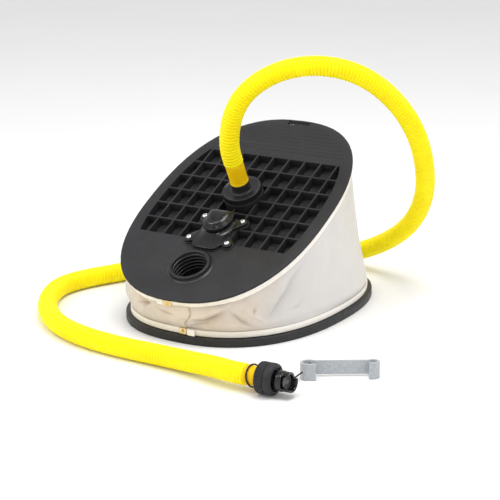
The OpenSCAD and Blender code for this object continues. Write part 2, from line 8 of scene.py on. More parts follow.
import bmesh
import bpy
import numpy as np
from mathutils import Matrix, Vector, noise
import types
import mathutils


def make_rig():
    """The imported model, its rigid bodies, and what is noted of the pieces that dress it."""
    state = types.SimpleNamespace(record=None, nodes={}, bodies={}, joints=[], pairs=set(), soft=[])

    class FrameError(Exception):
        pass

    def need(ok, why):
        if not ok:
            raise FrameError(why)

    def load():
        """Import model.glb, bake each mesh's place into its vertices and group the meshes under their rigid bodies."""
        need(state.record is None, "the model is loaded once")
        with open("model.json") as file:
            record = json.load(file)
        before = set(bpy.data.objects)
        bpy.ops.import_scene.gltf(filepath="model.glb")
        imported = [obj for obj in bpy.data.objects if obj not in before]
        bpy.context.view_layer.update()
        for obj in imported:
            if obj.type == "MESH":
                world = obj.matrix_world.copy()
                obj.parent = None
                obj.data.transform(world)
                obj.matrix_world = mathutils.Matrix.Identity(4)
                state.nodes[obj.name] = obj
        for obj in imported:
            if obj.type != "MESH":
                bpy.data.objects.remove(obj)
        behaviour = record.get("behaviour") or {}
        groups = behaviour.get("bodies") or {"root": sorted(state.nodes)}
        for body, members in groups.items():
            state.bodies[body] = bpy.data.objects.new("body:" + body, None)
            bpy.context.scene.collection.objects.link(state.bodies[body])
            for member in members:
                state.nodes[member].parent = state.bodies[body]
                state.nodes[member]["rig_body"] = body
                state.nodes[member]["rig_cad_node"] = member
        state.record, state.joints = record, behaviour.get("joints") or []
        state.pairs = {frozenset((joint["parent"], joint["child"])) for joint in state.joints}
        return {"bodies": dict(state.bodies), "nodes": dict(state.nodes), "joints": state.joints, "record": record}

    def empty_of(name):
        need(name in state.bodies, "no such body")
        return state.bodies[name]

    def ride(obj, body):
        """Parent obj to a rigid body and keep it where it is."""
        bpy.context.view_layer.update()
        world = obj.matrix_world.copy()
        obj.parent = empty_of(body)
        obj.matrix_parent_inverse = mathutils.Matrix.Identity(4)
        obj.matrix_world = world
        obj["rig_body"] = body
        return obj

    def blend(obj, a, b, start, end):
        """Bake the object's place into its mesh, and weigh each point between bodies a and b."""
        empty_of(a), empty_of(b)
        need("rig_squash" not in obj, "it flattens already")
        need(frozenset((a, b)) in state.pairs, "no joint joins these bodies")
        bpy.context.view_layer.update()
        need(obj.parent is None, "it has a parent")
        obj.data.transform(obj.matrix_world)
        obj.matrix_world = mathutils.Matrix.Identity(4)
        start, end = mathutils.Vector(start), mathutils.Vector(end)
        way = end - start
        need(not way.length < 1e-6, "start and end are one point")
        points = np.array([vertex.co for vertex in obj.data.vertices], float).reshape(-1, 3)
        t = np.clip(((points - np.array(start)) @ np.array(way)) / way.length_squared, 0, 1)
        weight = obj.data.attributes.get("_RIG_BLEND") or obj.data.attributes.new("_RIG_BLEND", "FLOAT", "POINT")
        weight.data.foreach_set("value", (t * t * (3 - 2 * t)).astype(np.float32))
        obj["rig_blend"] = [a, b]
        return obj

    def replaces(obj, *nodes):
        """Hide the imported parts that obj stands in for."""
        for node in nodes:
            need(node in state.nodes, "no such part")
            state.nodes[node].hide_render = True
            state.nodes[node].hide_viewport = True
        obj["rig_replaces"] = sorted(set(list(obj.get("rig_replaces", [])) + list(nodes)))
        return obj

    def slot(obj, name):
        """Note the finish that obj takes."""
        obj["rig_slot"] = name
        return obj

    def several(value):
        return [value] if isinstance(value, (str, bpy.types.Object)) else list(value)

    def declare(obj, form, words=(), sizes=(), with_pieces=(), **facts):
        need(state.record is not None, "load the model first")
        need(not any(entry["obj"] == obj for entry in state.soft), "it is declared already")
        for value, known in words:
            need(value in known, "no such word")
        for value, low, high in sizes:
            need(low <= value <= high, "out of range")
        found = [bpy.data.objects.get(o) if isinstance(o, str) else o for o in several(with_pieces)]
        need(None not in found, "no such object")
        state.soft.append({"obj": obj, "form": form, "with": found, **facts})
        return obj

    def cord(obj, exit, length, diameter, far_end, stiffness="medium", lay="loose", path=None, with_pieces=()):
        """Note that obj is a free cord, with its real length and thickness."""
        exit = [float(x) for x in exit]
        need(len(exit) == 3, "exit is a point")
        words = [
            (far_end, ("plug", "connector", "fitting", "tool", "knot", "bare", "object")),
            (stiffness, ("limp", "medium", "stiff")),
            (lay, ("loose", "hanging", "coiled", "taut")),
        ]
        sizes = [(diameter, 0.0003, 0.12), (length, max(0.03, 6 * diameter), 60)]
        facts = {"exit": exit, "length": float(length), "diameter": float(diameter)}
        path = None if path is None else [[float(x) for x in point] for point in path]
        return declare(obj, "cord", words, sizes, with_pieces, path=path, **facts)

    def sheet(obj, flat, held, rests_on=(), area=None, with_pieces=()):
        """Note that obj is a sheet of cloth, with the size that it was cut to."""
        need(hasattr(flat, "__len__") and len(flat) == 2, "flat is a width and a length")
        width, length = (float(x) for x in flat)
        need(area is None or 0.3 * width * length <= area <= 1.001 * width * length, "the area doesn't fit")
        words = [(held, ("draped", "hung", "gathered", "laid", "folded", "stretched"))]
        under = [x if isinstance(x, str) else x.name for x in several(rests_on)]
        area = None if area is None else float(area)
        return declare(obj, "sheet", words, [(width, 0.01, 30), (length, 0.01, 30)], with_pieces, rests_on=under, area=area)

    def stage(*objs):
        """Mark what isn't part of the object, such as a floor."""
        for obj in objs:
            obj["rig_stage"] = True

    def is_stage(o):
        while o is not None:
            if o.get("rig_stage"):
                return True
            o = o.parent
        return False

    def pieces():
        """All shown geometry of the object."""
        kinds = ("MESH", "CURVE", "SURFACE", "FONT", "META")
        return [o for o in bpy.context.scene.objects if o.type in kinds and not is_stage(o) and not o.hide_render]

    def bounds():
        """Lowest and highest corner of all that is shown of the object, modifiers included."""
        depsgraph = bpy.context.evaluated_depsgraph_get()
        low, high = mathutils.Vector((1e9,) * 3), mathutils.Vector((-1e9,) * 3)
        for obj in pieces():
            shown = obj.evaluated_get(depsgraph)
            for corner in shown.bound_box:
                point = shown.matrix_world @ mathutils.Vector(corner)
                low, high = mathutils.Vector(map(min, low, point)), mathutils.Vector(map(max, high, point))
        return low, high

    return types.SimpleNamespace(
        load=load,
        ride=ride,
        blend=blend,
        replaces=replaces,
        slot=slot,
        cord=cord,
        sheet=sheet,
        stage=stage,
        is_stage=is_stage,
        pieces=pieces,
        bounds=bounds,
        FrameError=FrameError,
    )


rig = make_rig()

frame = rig.load()
cad_box = [list(corner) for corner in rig.bounds()]

MM = 0.001
scene = bpy.context.scene
record = frame["record"]
mounts = {m["name"]: m for m in record["mounts"]}


# ---- Frames of the parts, from the record's mounts ----

def frame_at(origin, x_axis, z_axis):
    """The matrix of a frame with that origin, X and Z axes."""
    z = Vector(z_axis).normalized()
    x = Vector(x_axis).normalized()
    matrix = Matrix((x, z.cross(x), z)).transposed().to_4x4()
    matrix.translation = Vector(origin)
    return matrix


# Treadle's frame: u across, v up the slope, w out of its top
INFLATION_V, COVER_V, DEFLATION_V = 14.2 * MM, -44 * MM, -98.5 * MM
PORT_R = mounts["deflation_port"]["dims"]["r_mm"] * MM
PORT_MID_W = -9.25 * MM
plate = frame_at(mounts["deflation_port"]["pos_m"], (1, 0, 0), mounts["deflation_port"]["axis"])
plate = plate @ Matrix.Translation((0, -DEFLATION_V, -PORT_MID_W))
inflation = plate @ Matrix.Translation((0, INFLATION_V, 0))
deflation = plate @ Matrix.Translation((0, DEFLATION_V, 0))
cover = plate @ Matrix.Translation((0, COVER_V, 0))

# Nozzle's frame: Z along its axis, out of its tip, from the ring nut's back face
SPIGOT_MID = 22.55 * MM
nozzle = frame_at(mounts["nozzle_spigot"]["pos_m"], (0, 0, -1), mounts["nozzle_spigot"]["axis"])
nozzle = nozzle @ Matrix.Translation((0, 0, -SPIGOT_MID))

# Clip's frame: X along its bar, Y from the bar to its open side, mirrored so that Z stays up
CLIP_YAW = radians(33.2)
CLIP_AT = (0.1663, -0.1571, 0)
MIRROR_Y = Matrix.Diagonal((1, -1, 1, 1))
clip = Matrix.Translation(CLIP_AT) @ Matrix.Rotation(CLIP_YAW, 4, "Z") @ MIRROR_Y

# Ovals of the two plates
BASE_A, BASE_B, PLATE_A, PLATE_B = 111 * MM, 148 * MM, 105 * MM, 146 * MM
OVAL_POWER = 2.4
FLANGE_H = 8 * MM


# ---- Camera ----

CAMERA_TARGET = Vector((-0.0009, -0.00205, 0.05811))
CAMERA_AZIMUTH, CAMERA_ELEVATION, CAMERA_DISTANCE = radians(31.72), radians(16.05), 1.72484
CAMERA_LENS = 118.54


def make_camera():
    away = Vector((sin(CAMERA_AZIMUTH) * cos(CAMERA_ELEVATION),
                   -cos(CAMERA_AZIMUTH) * cos(CAMERA_ELEVATION), sin(CAMERA_ELEVATION)))
    data = bpy.data.cameras.new("camera")
    data.lens = CAMERA_LENS
    data.sensor_width = 36
    camera = bpy.data.objects.new("camera", data)
    scene.collection.objects.link(camera)
    camera.location = CAMERA_TARGET + away * CAMERA_DISTANCE
    camera.rotation_euler = away.to_track_quat("Z", "Y").to_euler()
    scene.camera = camera


make_camera()


# ---- Material helpers ----

class Graph:
    """A material's node tree, with short calls that add and join its nodes."""

    def __init__(self, name, **sockets):
        self.material = bpy.data.materials.new(name)
        self.material.use_nodes = True
        self.tree = self.material.node_tree
        self.shader = self.tree.nodes["Principled BSDF"]
        for socket, value in sockets.items():
            self.shader.inputs[socket.replace("_", " ")].default_value = value
        self.place = self.add("TexCoord").outputs["Object"]
        self.flat = self.add("TexCoord").outputs["UV"]

    def add(self, kind, inputs=None, **settings):
        node = self.tree.nodes.new("ShaderNode" + kind)
        for key, value in settings.items():
            setattr(node, key, value)
        self.join(node, inputs or {})
        return node

    def join(self, node, inputs):
        """Links or sets each of the node's inputs."""
        for key, value in inputs.items():
            if isinstance(value, bpy.types.NodeSocket):
                self.tree.links.new(value, node.inputs[key])
            else:
                node.inputs[key].default_value = value

    def noise(self, scale, detail=3.0, roughness=0.5, place=None):
        inputs = {"Vector": place or self.place, "Scale": scale, "Detail": detail, "Roughness": roughness}
        return self.add("TexNoise", inputs).outputs["Fac"]

    def spread(self, value, low=0.0, high=1.0, start=0.35, end=0.65):
        """The value's range from start to end, spread from low to high."""
        inputs = {"Value": value, "From Min": start, "From Max": end, "To Min": low, "To Max": high}
        return self.add("MapRange", inputs).outputs["Result"]

    def mix(self, share, *colors):
        """Two colours mixed: each is a socket, or red, green and blue."""
        first, second = [c if isinstance(c, bpy.types.NodeSocket) else (*c, 1) for c in colors]
        return self.add("Mix", {0: share, 6: first, 7: second}, data_type="RGBA").outputs[2]

    def math(self, operation, first, second=0.0):
        return self.add("Math", {0: first, 1: second}, operation=operation).outputs[0]

    def bump(self, height, distance, strength=1.0, normal=None):
        inputs = {"Height": height, "Distance": distance, "Strength": strength}
        if normal:
            inputs["Normal"] = normal
        return self.add("Bump", inputs).outputs["Normal"]

    def finish(self, color, roughness, normal):
        self.join(self.shader, {"Base Color": color, "Roughness": roughness, "Normal": normal})
        return self.material


def moulded(name, dark, light, roughness, grain, depth, **sockets):
    """Moulded plastic or rubber: a fine grain, cloudy colour and scuffed gloss."""
    g = Graph(name, **sockets)
    grain_noise = g.noise(1 / grain, 2.0)
    clouds = g.noise(40.0, 4.0)
    scuffs = g.noise(260.0, 5.0, 0.7)
    color = g.mix(g.spread(clouds), dark, light)
    color = g.mix(g.spread(grain_noise, 0.0, 0.35), color, [c * 1.6 for c in light])
    rough = g.math("ADD", g.spread(scuffs, -0.06, 0.08), roughness)
    return g.finish(color, rough, g.bump(grain_noise, depth))


def metal(name, color, roughness, scratch=0.02 * MM):
    g = Graph(name, Metallic=1.0)
    stretched = g.add("Mapping", {"Vector": g.place, "Scale": (1.0, 0.15, 1.0)}).outputs["Vector"]
    lines = g.noise(3000.0, 3.0, 0.6, stretched)
    clouds = g.noise(300.0, 3.0)
    tint = g.mix(g.spread(clouds), color, [c * 0.86 for c in color])
    return g.finish(tint, g.spread(lines, roughness * 0.7, roughness * 1.5), g.bump(lines, scratch, 0.4))


WAVE = 6.28  # a wave texture's bands lie 1 / (WAVE * scale) apart


def coated_fabric(name):
    """Coated fabric: a weave under a soft matt coating, warmer at the toe, with painted shade darkening its fold
    valleys and the seam's edge towards brown.
    """
    g = Graph(name, Sheen_Weight=0.15, Sheen_Roughness=0.5, Specular_IOR_Level=0.35)
    threads = {"Vector": g.flat, "Scale": 2 / (WAVE * 0.45 * MM), "Distortion": 0.6, "Detail": 1.0}
    warp, weft = [g.add("TexWave", threads, bands_direction=axis).outputs["Fac"] for axis in "XY"]
    weave = g.math("MULTIPLY", warp, weft)
    clouds = g.noise(14.0, 5.0, 0.55)
    marks = g.noise(70.0, 4.0, 0.6)
    color = g.mix(g.spread(clouds), (0.69, 0.67, 0.655), (0.64, 0.62, 0.605))
    along = g.add("SeparateXYZ", {"Vector": g.place}).outputs
    toe = g.math("ADD", along["Y"], g.math("MULTIPLY", along["X"], -0.35))
    toe = g.math("ADD", toe, g.spread(clouds, -0.02, 0.02))
    warm = g.mix(g.spread(marks), (0.74, 0.635, 0.54), (0.68, 0.565, 0.475))
    color = g.mix(g.spread(toe, 1.0, 0.0, -0.165, -0.105), color, warm)
    color = g.mix(g.spread(marks, 0.0, 0.25, 0.55, 0.75), color, (0.60, 0.54, 0.47))
    # painted shade: the fold attribute darkens the fold valleys and the seam's edge towards a brownish shade colour
    folded = g.add("Attribute", attribute_name="fold").outputs["Fac"]
    color = g.mix(g.math("MULTIPLY", folded, 0.75), color, (0.25, 0.16, 0.11))
    soft = g.bump(g.noise(120.0, 3.0), 0.25 * MM, 0.6)
    return g.finish(color, g.spread(marks, 0.48, 0.62), g.bump(weave, 0.05 * MM, 0.5, soft))


def strap_plastic(name):
    """Strap: fine ribs along its length under a slight shine."""
    g = Graph(name)
    bands = {"Vector": g.flat, "Scale": 1 / (WAVE * 0.7 * MM), "Distortion": 0.2}
    ribs = g.add("TexWave", bands, bands_direction="Y").outputs["Fac"]
    clouds = g.noise(60.0, 4.0)
    color = g.mix(g.spread(clouds), (0.95, 0.91, 0.86), (0.91, 0.86, 0.79))
    return g.finish(color, g.spread(g.noise(300.0), 0.34, 0.46), g.bump(ribs, 0.06 * MM, 0.5))


def hose_plastic(name, light, deep, roughness):
    """Soft bright plastic, a little deeper in colour where it is thicker."""
    g = Graph(name, Subsurface_Weight=0.1, Subsurface_Radius=(0.004, 0.003, 0.0005), Subsurface_Scale=1.0,
              Specular_IOR_Level=0.2)
    clouds = g.noise(35.0, 3.0)
    fine = g.noise(900.0, 2.0)
    color = g.mix(g.spread(clouds), light, deep)
    rough = g.math("ADD", g.spread(fine, -0.03, 0.05), roughness)
    return g.finish(color, rough, g.bump(fine, 0.03 * MM, 0.5))


def braid(name):
    """Black braided cord: two sets of threads that cross on the slant."""
    g = Graph(name)
    threads = []
    for slant in (0.8, -0.8):
        turned = g.add("Mapping", {"Vector": g.flat, "Rotation": (0, 0, slant)}).outputs["Vector"]
        threads.append(g.add("TexWave", {"Vector": turned, "Scale": 1 / (WAVE * 0.35 * MM)}).outputs["Fac"])
    weave = g.math("MULTIPLY", *threads)
    color = g.mix(weave, (0.008, 0.008, 0.009), (0.035, 0.035, 0.04))
    return g.finish(color, g.spread(g.noise(900.0), 0.55, 0.75), g.bump(weave, 0.1 * MM, 0.8))


BLACK_PLATE = moulded("black_plate", (0.009, 0.009, 0.0105), (0.014, 0.014, 0.016), 0.50,
                      0.8 * MM, 0.16 * MM, Specular_IOR_Level=0.42)
BLACK_GLOSS = moulded("black_gloss", (0.003, 0.003, 0.0035), (0.006, 0.006, 0.007), 0.20, 3 * MM, 0.03 * MM)
BLACK_COLLAR = moulded("black_collar", (0.007, 0.007, 0.008), (0.012, 0.012, 0.0135), 0.34,
                       0.7 * MM, 0.05 * MM, Specular_IOR_Level=0.42)
RUBBER = moulded("rubber", (0.008, 0.008, 0.008), (0.014, 0.014, 0.014), 0.62, 0.6 * MM, 0.05 * MM)
FABRIC = coated_fabric("coated_fabric")
STRAP = strap_plastic("strap_plastic")
CRIMP = metal("gold_crimp", (0.86, 0.66, 0.33), 0.28)
CHROME = metal("chrome", (0.88, 0.88, 0.89), 0.10, 0.005 * MM)
SPRING_STEEL = metal("spring_steel", (0.60, 0.60, 0.62), 0.32)
HOSE_YELLOW = hose_plastic("hose_yellow", (1.0, 0.86, 0.0005), (0.97, 0.79, 0.0003), 0.42)
CUFF_YELLOW = hose_plastic("cuff_yellow", (0.90, 0.58, 0.0005), (0.84, 0.51, 0.0003), 0.44)
CLIP_GREY = moulded("clip_grey", (0.365, 0.385, 0.405), (0.39, 0.41, 0.43), 0.42, 2.0 * MM, 0.03 * MM)
# painted light: the core is black, drawn in a lighter grey that stands in for the light it catches
CORE_PAINTED_LIT = moulded("core_grey", (0.045, 0.046, 0.05), (0.075, 0.076, 0.08), 0.25, 1.0 * MM, 0.06 * MM,
                    Coat_Weight=0.5, Coat_Roughness=0.1)
CORD_BLACK = braid("cord_black")


# ---- Mesh helpers ----

def written(bm, mesh):
    """The mesh, with the edited shape in it."""
    bm.to_mesh(mesh)
    bm.free()
    return mesh


def add_object(name, mesh, material, body=None, smooth_angle=None):
    """Puts the mesh in the scene with one material."""
    obj = bpy.data.objects.new(name, mesh)
    scene.collection.objects.link(obj)
    mesh.materials.clear()
    mesh.materials.append(material)
    if smooth_angle:
        shade(obj, smooth_angle)
    if body:
        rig.ride(obj, body)
    return obj


def shade(obj, smooth_angle):
    """Smooth shading, with edges sharper than the angle kept sharp."""
    obj.data.polygons.foreach_set("use_smooth", [True] * len(obj.data.polygons))
    obj.data.set_sharp_from_angle(angle=radians(smooth_angle))


def ring_faces(rows, columns, loop):
    """Quads between rings of points. loop joins the last ring to the first."""
    j = np.arange(rows if loop else rows - 1)[:, None]
    i = np.arange(columns)[None, :]
    here, after = j * columns, (j + 1) % rows * columns
    across = (i + 1) % columns
    return np.stack([here + i, here + across, after + across, after + i], -1).reshape(-1, 4)


def grid_piece(name, rings, material, body=None, loop=False, capped=False, smooth_angle=40):
    """A surface through rings of points, an array of rows, columns and x, y, z. Its map is in metres."""
    rings = np.asarray(rings, float)
    rows, columns = rings.shape[:2]
    faces = ring_faces(rows, columns, loop).tolist()
    around = np.linalg.norm(np.diff(rings, axis=1, append=rings[:, :1]), axis=2).mean(0)
    along = np.linalg.norm(np.diff(rings, axis=0, append=rings[:1]), axis=2).mean(1)
    u, v = np.r_[0, np.cumsum(around)], np.r_[0, np.cumsum(along)]
    quads = np.array(faces)
    row, column = quads[:, 0] // columns, quads[:, 0] % columns
    quad = ((0, 0), (1, 0), (1, 1), (0, 1))
    corners = np.stack([np.stack([u[column + a], v[row + b]], -1) for a, b in quad], 1)
    flat_map = corners.reshape(-1, 2).tolist()
    for first in (0, (rows - 1) * columns) if capped else ():
        faces.append(list(range(first, first + columns)))
        flat_map += [(0.0, 0.0)] * columns
    mesh = bpy.data.meshes.new(name)
    mesh.from_pydata(rings.reshape(-1, 3).tolist(), [], faces)
    mesh.uv_layers.new(name="flat").data.foreach_set("uv", np.array(flat_map, np.float32).ravel())
    bm = bmesh.new()
    bm.from_mesh(mesh)
    bmesh.ops.recalc_face_normals(bm, faces=bm.faces)
    return add_object(name, written(bm, mesh), material, body, smooth_angle)


def fillet(points, radius, steps=3, closed=True):
    """The outline (x, y) with its corners rounded. A point's third value is its own radius."""
    out = []
    count = len(points)
    for i, point in enumerate(points):
        here = Vector(point[:2])
        if not closed and i in (0, count - 1):
            out.append(here)
            continue
        before, after = Vector(points[i - 1][:2]) - here, Vector(points[(i + 1) % count][:2]) - here
        r = point[2] if len(point) > 2 else radius
        reach = min(r, before.length * 0.45, after.length * 0.45)
        if reach < 1e-7:
            out.append(here)
            continue
        a, b = here + before.normalized() * reach, here + after.normalized() * reach
        for k in range(steps + 1):
            t = k / steps
            out.append(a * (1 - t) ** 2 + here * 2 * t * (1 - t) + b * t ** 2)
    return [(p.x, p.y) for p in out]


def rounded(points, radius, steps=3, closed=True):
    """fillet() of points and radii in millimetres. The outline that it returns is in metres."""
    return fillet([tuple(v * MM for v in p) for p in points], radius * MM, steps, closed)


def polar(radii, angles, *others):
    """Points at those radii and angles, with any other coordinates after them."""
    return np.stack([radii * np.cos(angles), radii * np.sin(angles), *others], -1)


def lathe(name, matrix, profile, material, body, sides=128, closed=True, ripple=None, **options):
    """Turns a profile of (radius, height) about the frame's Z. ripple(angle, radius, height) is added to the
    radius."""
    angles = np.arange(sides) * tau / sides
    rings = []
    for r, z in profile:
        radii = np.full(sides, r)
        if ripple:
            radii = radii + np.array([ripple(a, r, z) for a in angles])
        rings.append(polar(radii, angles, np.full(sides, z)))
    rings = place(matrix, np.array(rings))
    return grid_piece(name, rings, material, body, loop=closed, **options)


def place(matrix, points):
    """The frame's points, moved to the world."""
    m = np.array(matrix)
    return np.asarray(points) @ m[:3, :3].T + m[:3, 3]


def carried_frames(path, first_side):
    """Two axes across the path at each of its points, carried along it without twist."""
    tangents = np.gradient(path, axis=0)
    tangents /= np.linalg.norm(tangents, axis=1)[:, None]
    sides = np.empty_like(path)
    side = np.array(first_side, float)
    for i, t in enumerate(tangents):
        side = side - (side @ t) * t
        side /= np.linalg.norm(side)
        sides[i] = side
    return sides, np.cross(tangents, sides)


def tube(name, path, radii, material, body=None, sides=24, first_side=(1, 0, 0), **options):
    path = np.asarray(path, float)
    across, up = carried_frames(path, first_side)
    angles = np.arange(sides) * tau / sides
    circle = across[:, None] * np.cos(angles)[None, :, None] + up[:, None] * np.sin(angles)[None, :, None]
    rings = path[:, None] + circle * np.broadcast_to(radii, len(path))[:, None, None]
    return grid_piece(name, rings, material, body, capped=True, **options)


def smooth_route(points, start, end):
    """A function that gives the point at a length along the smooth curve through points, and the length."""
    p = np.array(points, float)
    h = np.linalg.norm(np.diff(p, axis=0), axis=1)
    n = len(p)
    system, right = np.eye(n), np.zeros((n, 3))
    right[0], right[-1] = start, end
    for i in range(1, n - 1):
        system[i, i - 1:i + 2] = h[i], 2 * (h[i - 1] + h[i]), h[i - 1]
        right[i] = 3 * (h[i] * (p[i] - p[i - 1]) / h[i - 1] + h[i - 1] * (p[i + 1] - p[i]) / h[i])
    slopes = np.linalg.solve(system, right)
    t = np.linspace(0, 1, 40, endpoint=False)[:, None]
    dense = [((2 * t ** 3 - 3 * t ** 2 + 1) * p[i] + (t ** 3 - 2 * t ** 2 + t) * h[i] * slopes[i]
              + (3 * t ** 2 - 2 * t ** 3) * p[i + 1] + (t ** 3 - t ** 2) * h[i] * slopes[i + 1])
             for i in range(n - 1)]
    dense = np.concatenate(dense + [p[-1:]])
    lengths = np.r_[0, np.cumsum(np.linalg.norm(np.diff(dense, axis=0), axis=1))]
    return (lambda s: np.stack([np.interp(s, lengths, dense[:, k]) for k in range(3)], -1)), lengths[-1]


def unrolled_blend(obj, shares, first, second, start, end):
    """Blends obj from one body to the other by each vertex's own share of the way between them."""
    mesh = obj.data
    real = np.empty(len(mesh.vertices) * 3, np.float32)
    mesh.vertices.foreach_get("co", real)
    unrolled = np.zeros((len(mesh.vertices), 3), np.float32)
    unrolled[:, 0] = shares
    mesh.vertices.foreach_set("co", unrolled.ravel())
    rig.blend(obj, first, second, start=(start, 0, 0), end=(end, 0, 0))
    mesh.vertices.foreach_set("co", real)
    mesh.update()


def cad_copy(name, node, material, body, width, rim):
    """A node's own shape with merged faces and rounded edges. rim(edge) is an edge's share of the width."""
    mesh = frame["nodes"][node].data.copy()
    bm = bmesh.new()
    bm.from_mesh(mesh)
    bmesh.ops.remove_doubles(bm, verts=bm.verts, dist=0.002 * MM)
    bmesh.ops.dissolve_limit(bm, angle_limit=radians(0.5), verts=bm.verts, edges=bm.edges)
    weights = bm.edges.layers.float.new("bevel_weight_edge")
    for edge in bm.edges:
        if len(edge.link_faces) == 2 and edge.calc_face_angle(0) > radians(25):
            edge[weights] = rim(edge)
    obj = add_object(name, written(bm, mesh), material)
    bevel = obj.modifiers.new("round", "BEVEL")
    bevel.limit_method = "WEIGHT"
    bevel.width = width
    bevel.segments = 3
    bevel.use_clamp_overlap = False
    bevel.harden_normals = False
    apply_modifiers(obj)
    shade(obj, 35)
    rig.ride(obj, body)
    stand_for(obj, node)


def apply_modifiers(obj):
    bpy.context.view_layer.update()
    mesh = bpy.data.meshes.new_from_object(obj.evaluated_get(bpy.context.evaluated_depsgraph_get()))
    obj.modifiers.clear()
    old, obj.data = obj.data, mesh
    bpy.data.meshes.remove(old)


slot_of = {row["node"]: row["material_slot"] for row in record["subparts"]}


def stand_for(obj, *nodes):
    """obj is shown in these nodes' place, with their material slot."""
    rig.replaces(obj, *nodes)
    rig.slot(obj, slot_of[nodes[0]])
    return obj


def side(c, power):
    """An oval's half width at a cosine or sine, as a share of its whole."""
    return np.sign(c) * np.abs(c) ** (2 / power)


def even_turns(a, b, count, power=OVAL_POWER):
    """Angles that put points evenly round the oval, from its +X end."""
    t = np.linspace(0, tau, 20001)
    x, y = a * side(np.cos(t), power), b * side(np.sin(t), power)
    run = np.r_[0, np.cumsum(np.hypot(np.diff(x), np.diff(y)))]
    return np.interp(np.arange(count) * run[-1] / count, run, t)


def oval(a, b, turns, power=OVAL_POWER):
    return np.stack([a * side(np.cos(turns), power), b * side(np.sin(turns), power)], -1)


def base_ring(inset, z, turns):
    xy = oval(BASE_A - inset, BASE_B - inset, turns)
    return np.column_stack([xy, np.full(len(xy), z)])


def plate_ring(inset, w, turns):
    uv = oval(PLATE_A - inset, PLATE_B - inset, turns)
    return place(plate, np.column_stack([uv, np.full(len(uv), w)]))


# ---- Hose ----

HOSE_R, GROOVE_R, CORRUGATION = 10.2 * MM, 9.3 * MM, 3.5 * MM
# The two cords' routes are in millimetres, as in the CAD
HOSE_ROUTE = [
    (0, -34.96, 158.28), (0, -37.22, 162.74), (0, -39.47, 167.2), (4, -48.2, 194), (17.2, -50.4, 226),
    (44.3, -41, 251.6), (82.2, -22.2, 263), (119.5, 7, 253), (143.8, 38.8, 223.6), (153.5, 69.6, 184.8),
    (150.3, 98.2, 142), (135, 126.4, 101.7), (109.5, 147.5, 66.7), (79, 161, 42.2), (46.6, 170, 24.7),
    (12, 174, 13), (-24, 173, 10.2), (-60, 164, 10.2), (-92, 144, 10.2), (-115, 116, 10.2),
    (-130, 83, 10.2), (-141, 50, 10.2), (-153, 16, 10.2), (-167, -17, 10.2), (-181, -49, 10.2),
    (-186.5, -83, 10.2), (-175.5, -118, 10.2), (-154, -150, 10.2), (-122.3, -179.8, 10.2),
    (-84.7, -199, 10.2), (-44, -208.3, 10.2), (-4, -210.7, 10.2), (36, -212, 11), (73.5, -216, 12.8),
    (102, -221.2, 15), (121.54, -222.93, 15), (126.54, -222.63, 15), (131.53, -222.32, 15),
]
# The rings of one corrugation: (share of the pitch, share of the ridge's height)
RIDGE = [(0.0, 0.0), (0.09, 0.34), (0.2, 0.78), (0.38, 1.0), (0.62, 1.0), (0.8, 0.78), (0.91, 0.34)]
HOSE_FREE_FROM, HOSE_FREE_TO = 0.03, 0.52  # the part that bends when the treadle moves


def make_hose():
    point_at, length = smooth_route(np.array(HOSE_ROUTE) * MM, plate.col[2][:3], nozzle.col[2][:3])
    count = int(length / CORRUGATION)
    pitch = length / count
    runs = np.array([(i + share) * pitch for i in range(count) for share, _ in RIDGE] + [length])
    heights = np.array([height for _ in range(count) for _, height in RIDGE] + [0.0])
    path = point_at(runs)
    radii = GROOVE_R + (HOSE_R - GROOVE_R) * heights
    sides = 26
    hose = tube("corrugated_hose", path, radii, HOSE_YELLOW, sides=sides, smooth_angle=80)
    unrolled_blend(hose, np.repeat(runs, sides), "treadle", "base", HOSE_FREE_FROM, HOSE_FREE_TO)
    return stand_for(hose, "hose"), path, length


hose, hose_path, hose_length = make_hose()


# ---- Cuffs ----

NECK_TOP, CUFF_END = 19.4, 43.5  # heights above the treadle, in millimetres


def make_cuffs():
    length = CUFF_END - NECK_TOP + 2
    top = [(7.2, 0.1), (9.1, 0.1), (9.7, 0.6), (9.95, 1.4), (9.8, 2.4), (9.45, 3.6), (9.4, 8), (9.5, 16),
           (9.5, length - 2), (9.0, length - 1.5), (9.0, length), (7.2, length)]
    profile = rounded([(r, z + NECK_TOP) for r, z in top], 0.4)
    stand_for(lathe("hose_cuff_at_collar", inflation, profile, CUFF_YELLOW, "treadle", 96), "collar_cuff")
    profile = rounded([(7.2, -15), (9.0, -15), (9.0, -13.4), (9.7, -13), (9.8, -12), (9.4, -10.8),
                       (9.2, -9.6), (9.2, 4.4), (7.2, 4.4)], 0.4)
    return stand_for(lathe("hose_cuff_at_nozzle", nozzle, profile, CUFF_YELLOW, "base", 96), "nozzle_cuff")


nozzle_cuff = make_cuffs()


# ---- Nozzle ----

NUT_RIDGES, COLLAR_RIDGES = 44, 96


def ridged(count, depth, low, high):
    """A ripple that cuts rounded ridges between two heights and fades at both."""
    def ripple(angle, radius, height):
        if not low < height < high:
            return 0.0
        fade = min(1.0, (height - low) / (0.6 * MM), (high - height) / (0.6 * MM))
        return -depth * fade * (1 - abs(cos(angle * count / 2)) ** 1.5)
    return ripple


def cut(obj, cutter):
    """Takes the cutter out of obj, and removes the cutter."""
    boolean = obj.modifiers.new("cut", "BOOLEAN")
    boolean.object = cutter
    boolean.solver = "EXACT"
    apply_modifiers(obj)
    bpy.data.objects.remove(cutter)


def rounded_box(name, matrix, low, high, material, body=None, radius=0.4):
    """A box with rounded edges between two corners of a frame. Its sizes are in millimetres."""
    bm = bmesh.new()
    bmesh.ops.create_cube(bm, size=1.0)
    for v in bm.verts:
        v.co = Vector([(l + (h - l) * (c + 0.5)) * MM for l, h, c in zip(low, high, v.co)])
    if radius:
        bmesh.ops.bevel(bm, geom=bm.edges[:], offset=radius * MM, segments=3, profile=0.5, affect="EDGES")
    bm.transform(matrix)
    return add_object(name, written(bm, bpy.data.meshes.new(name)), material, body, 45)


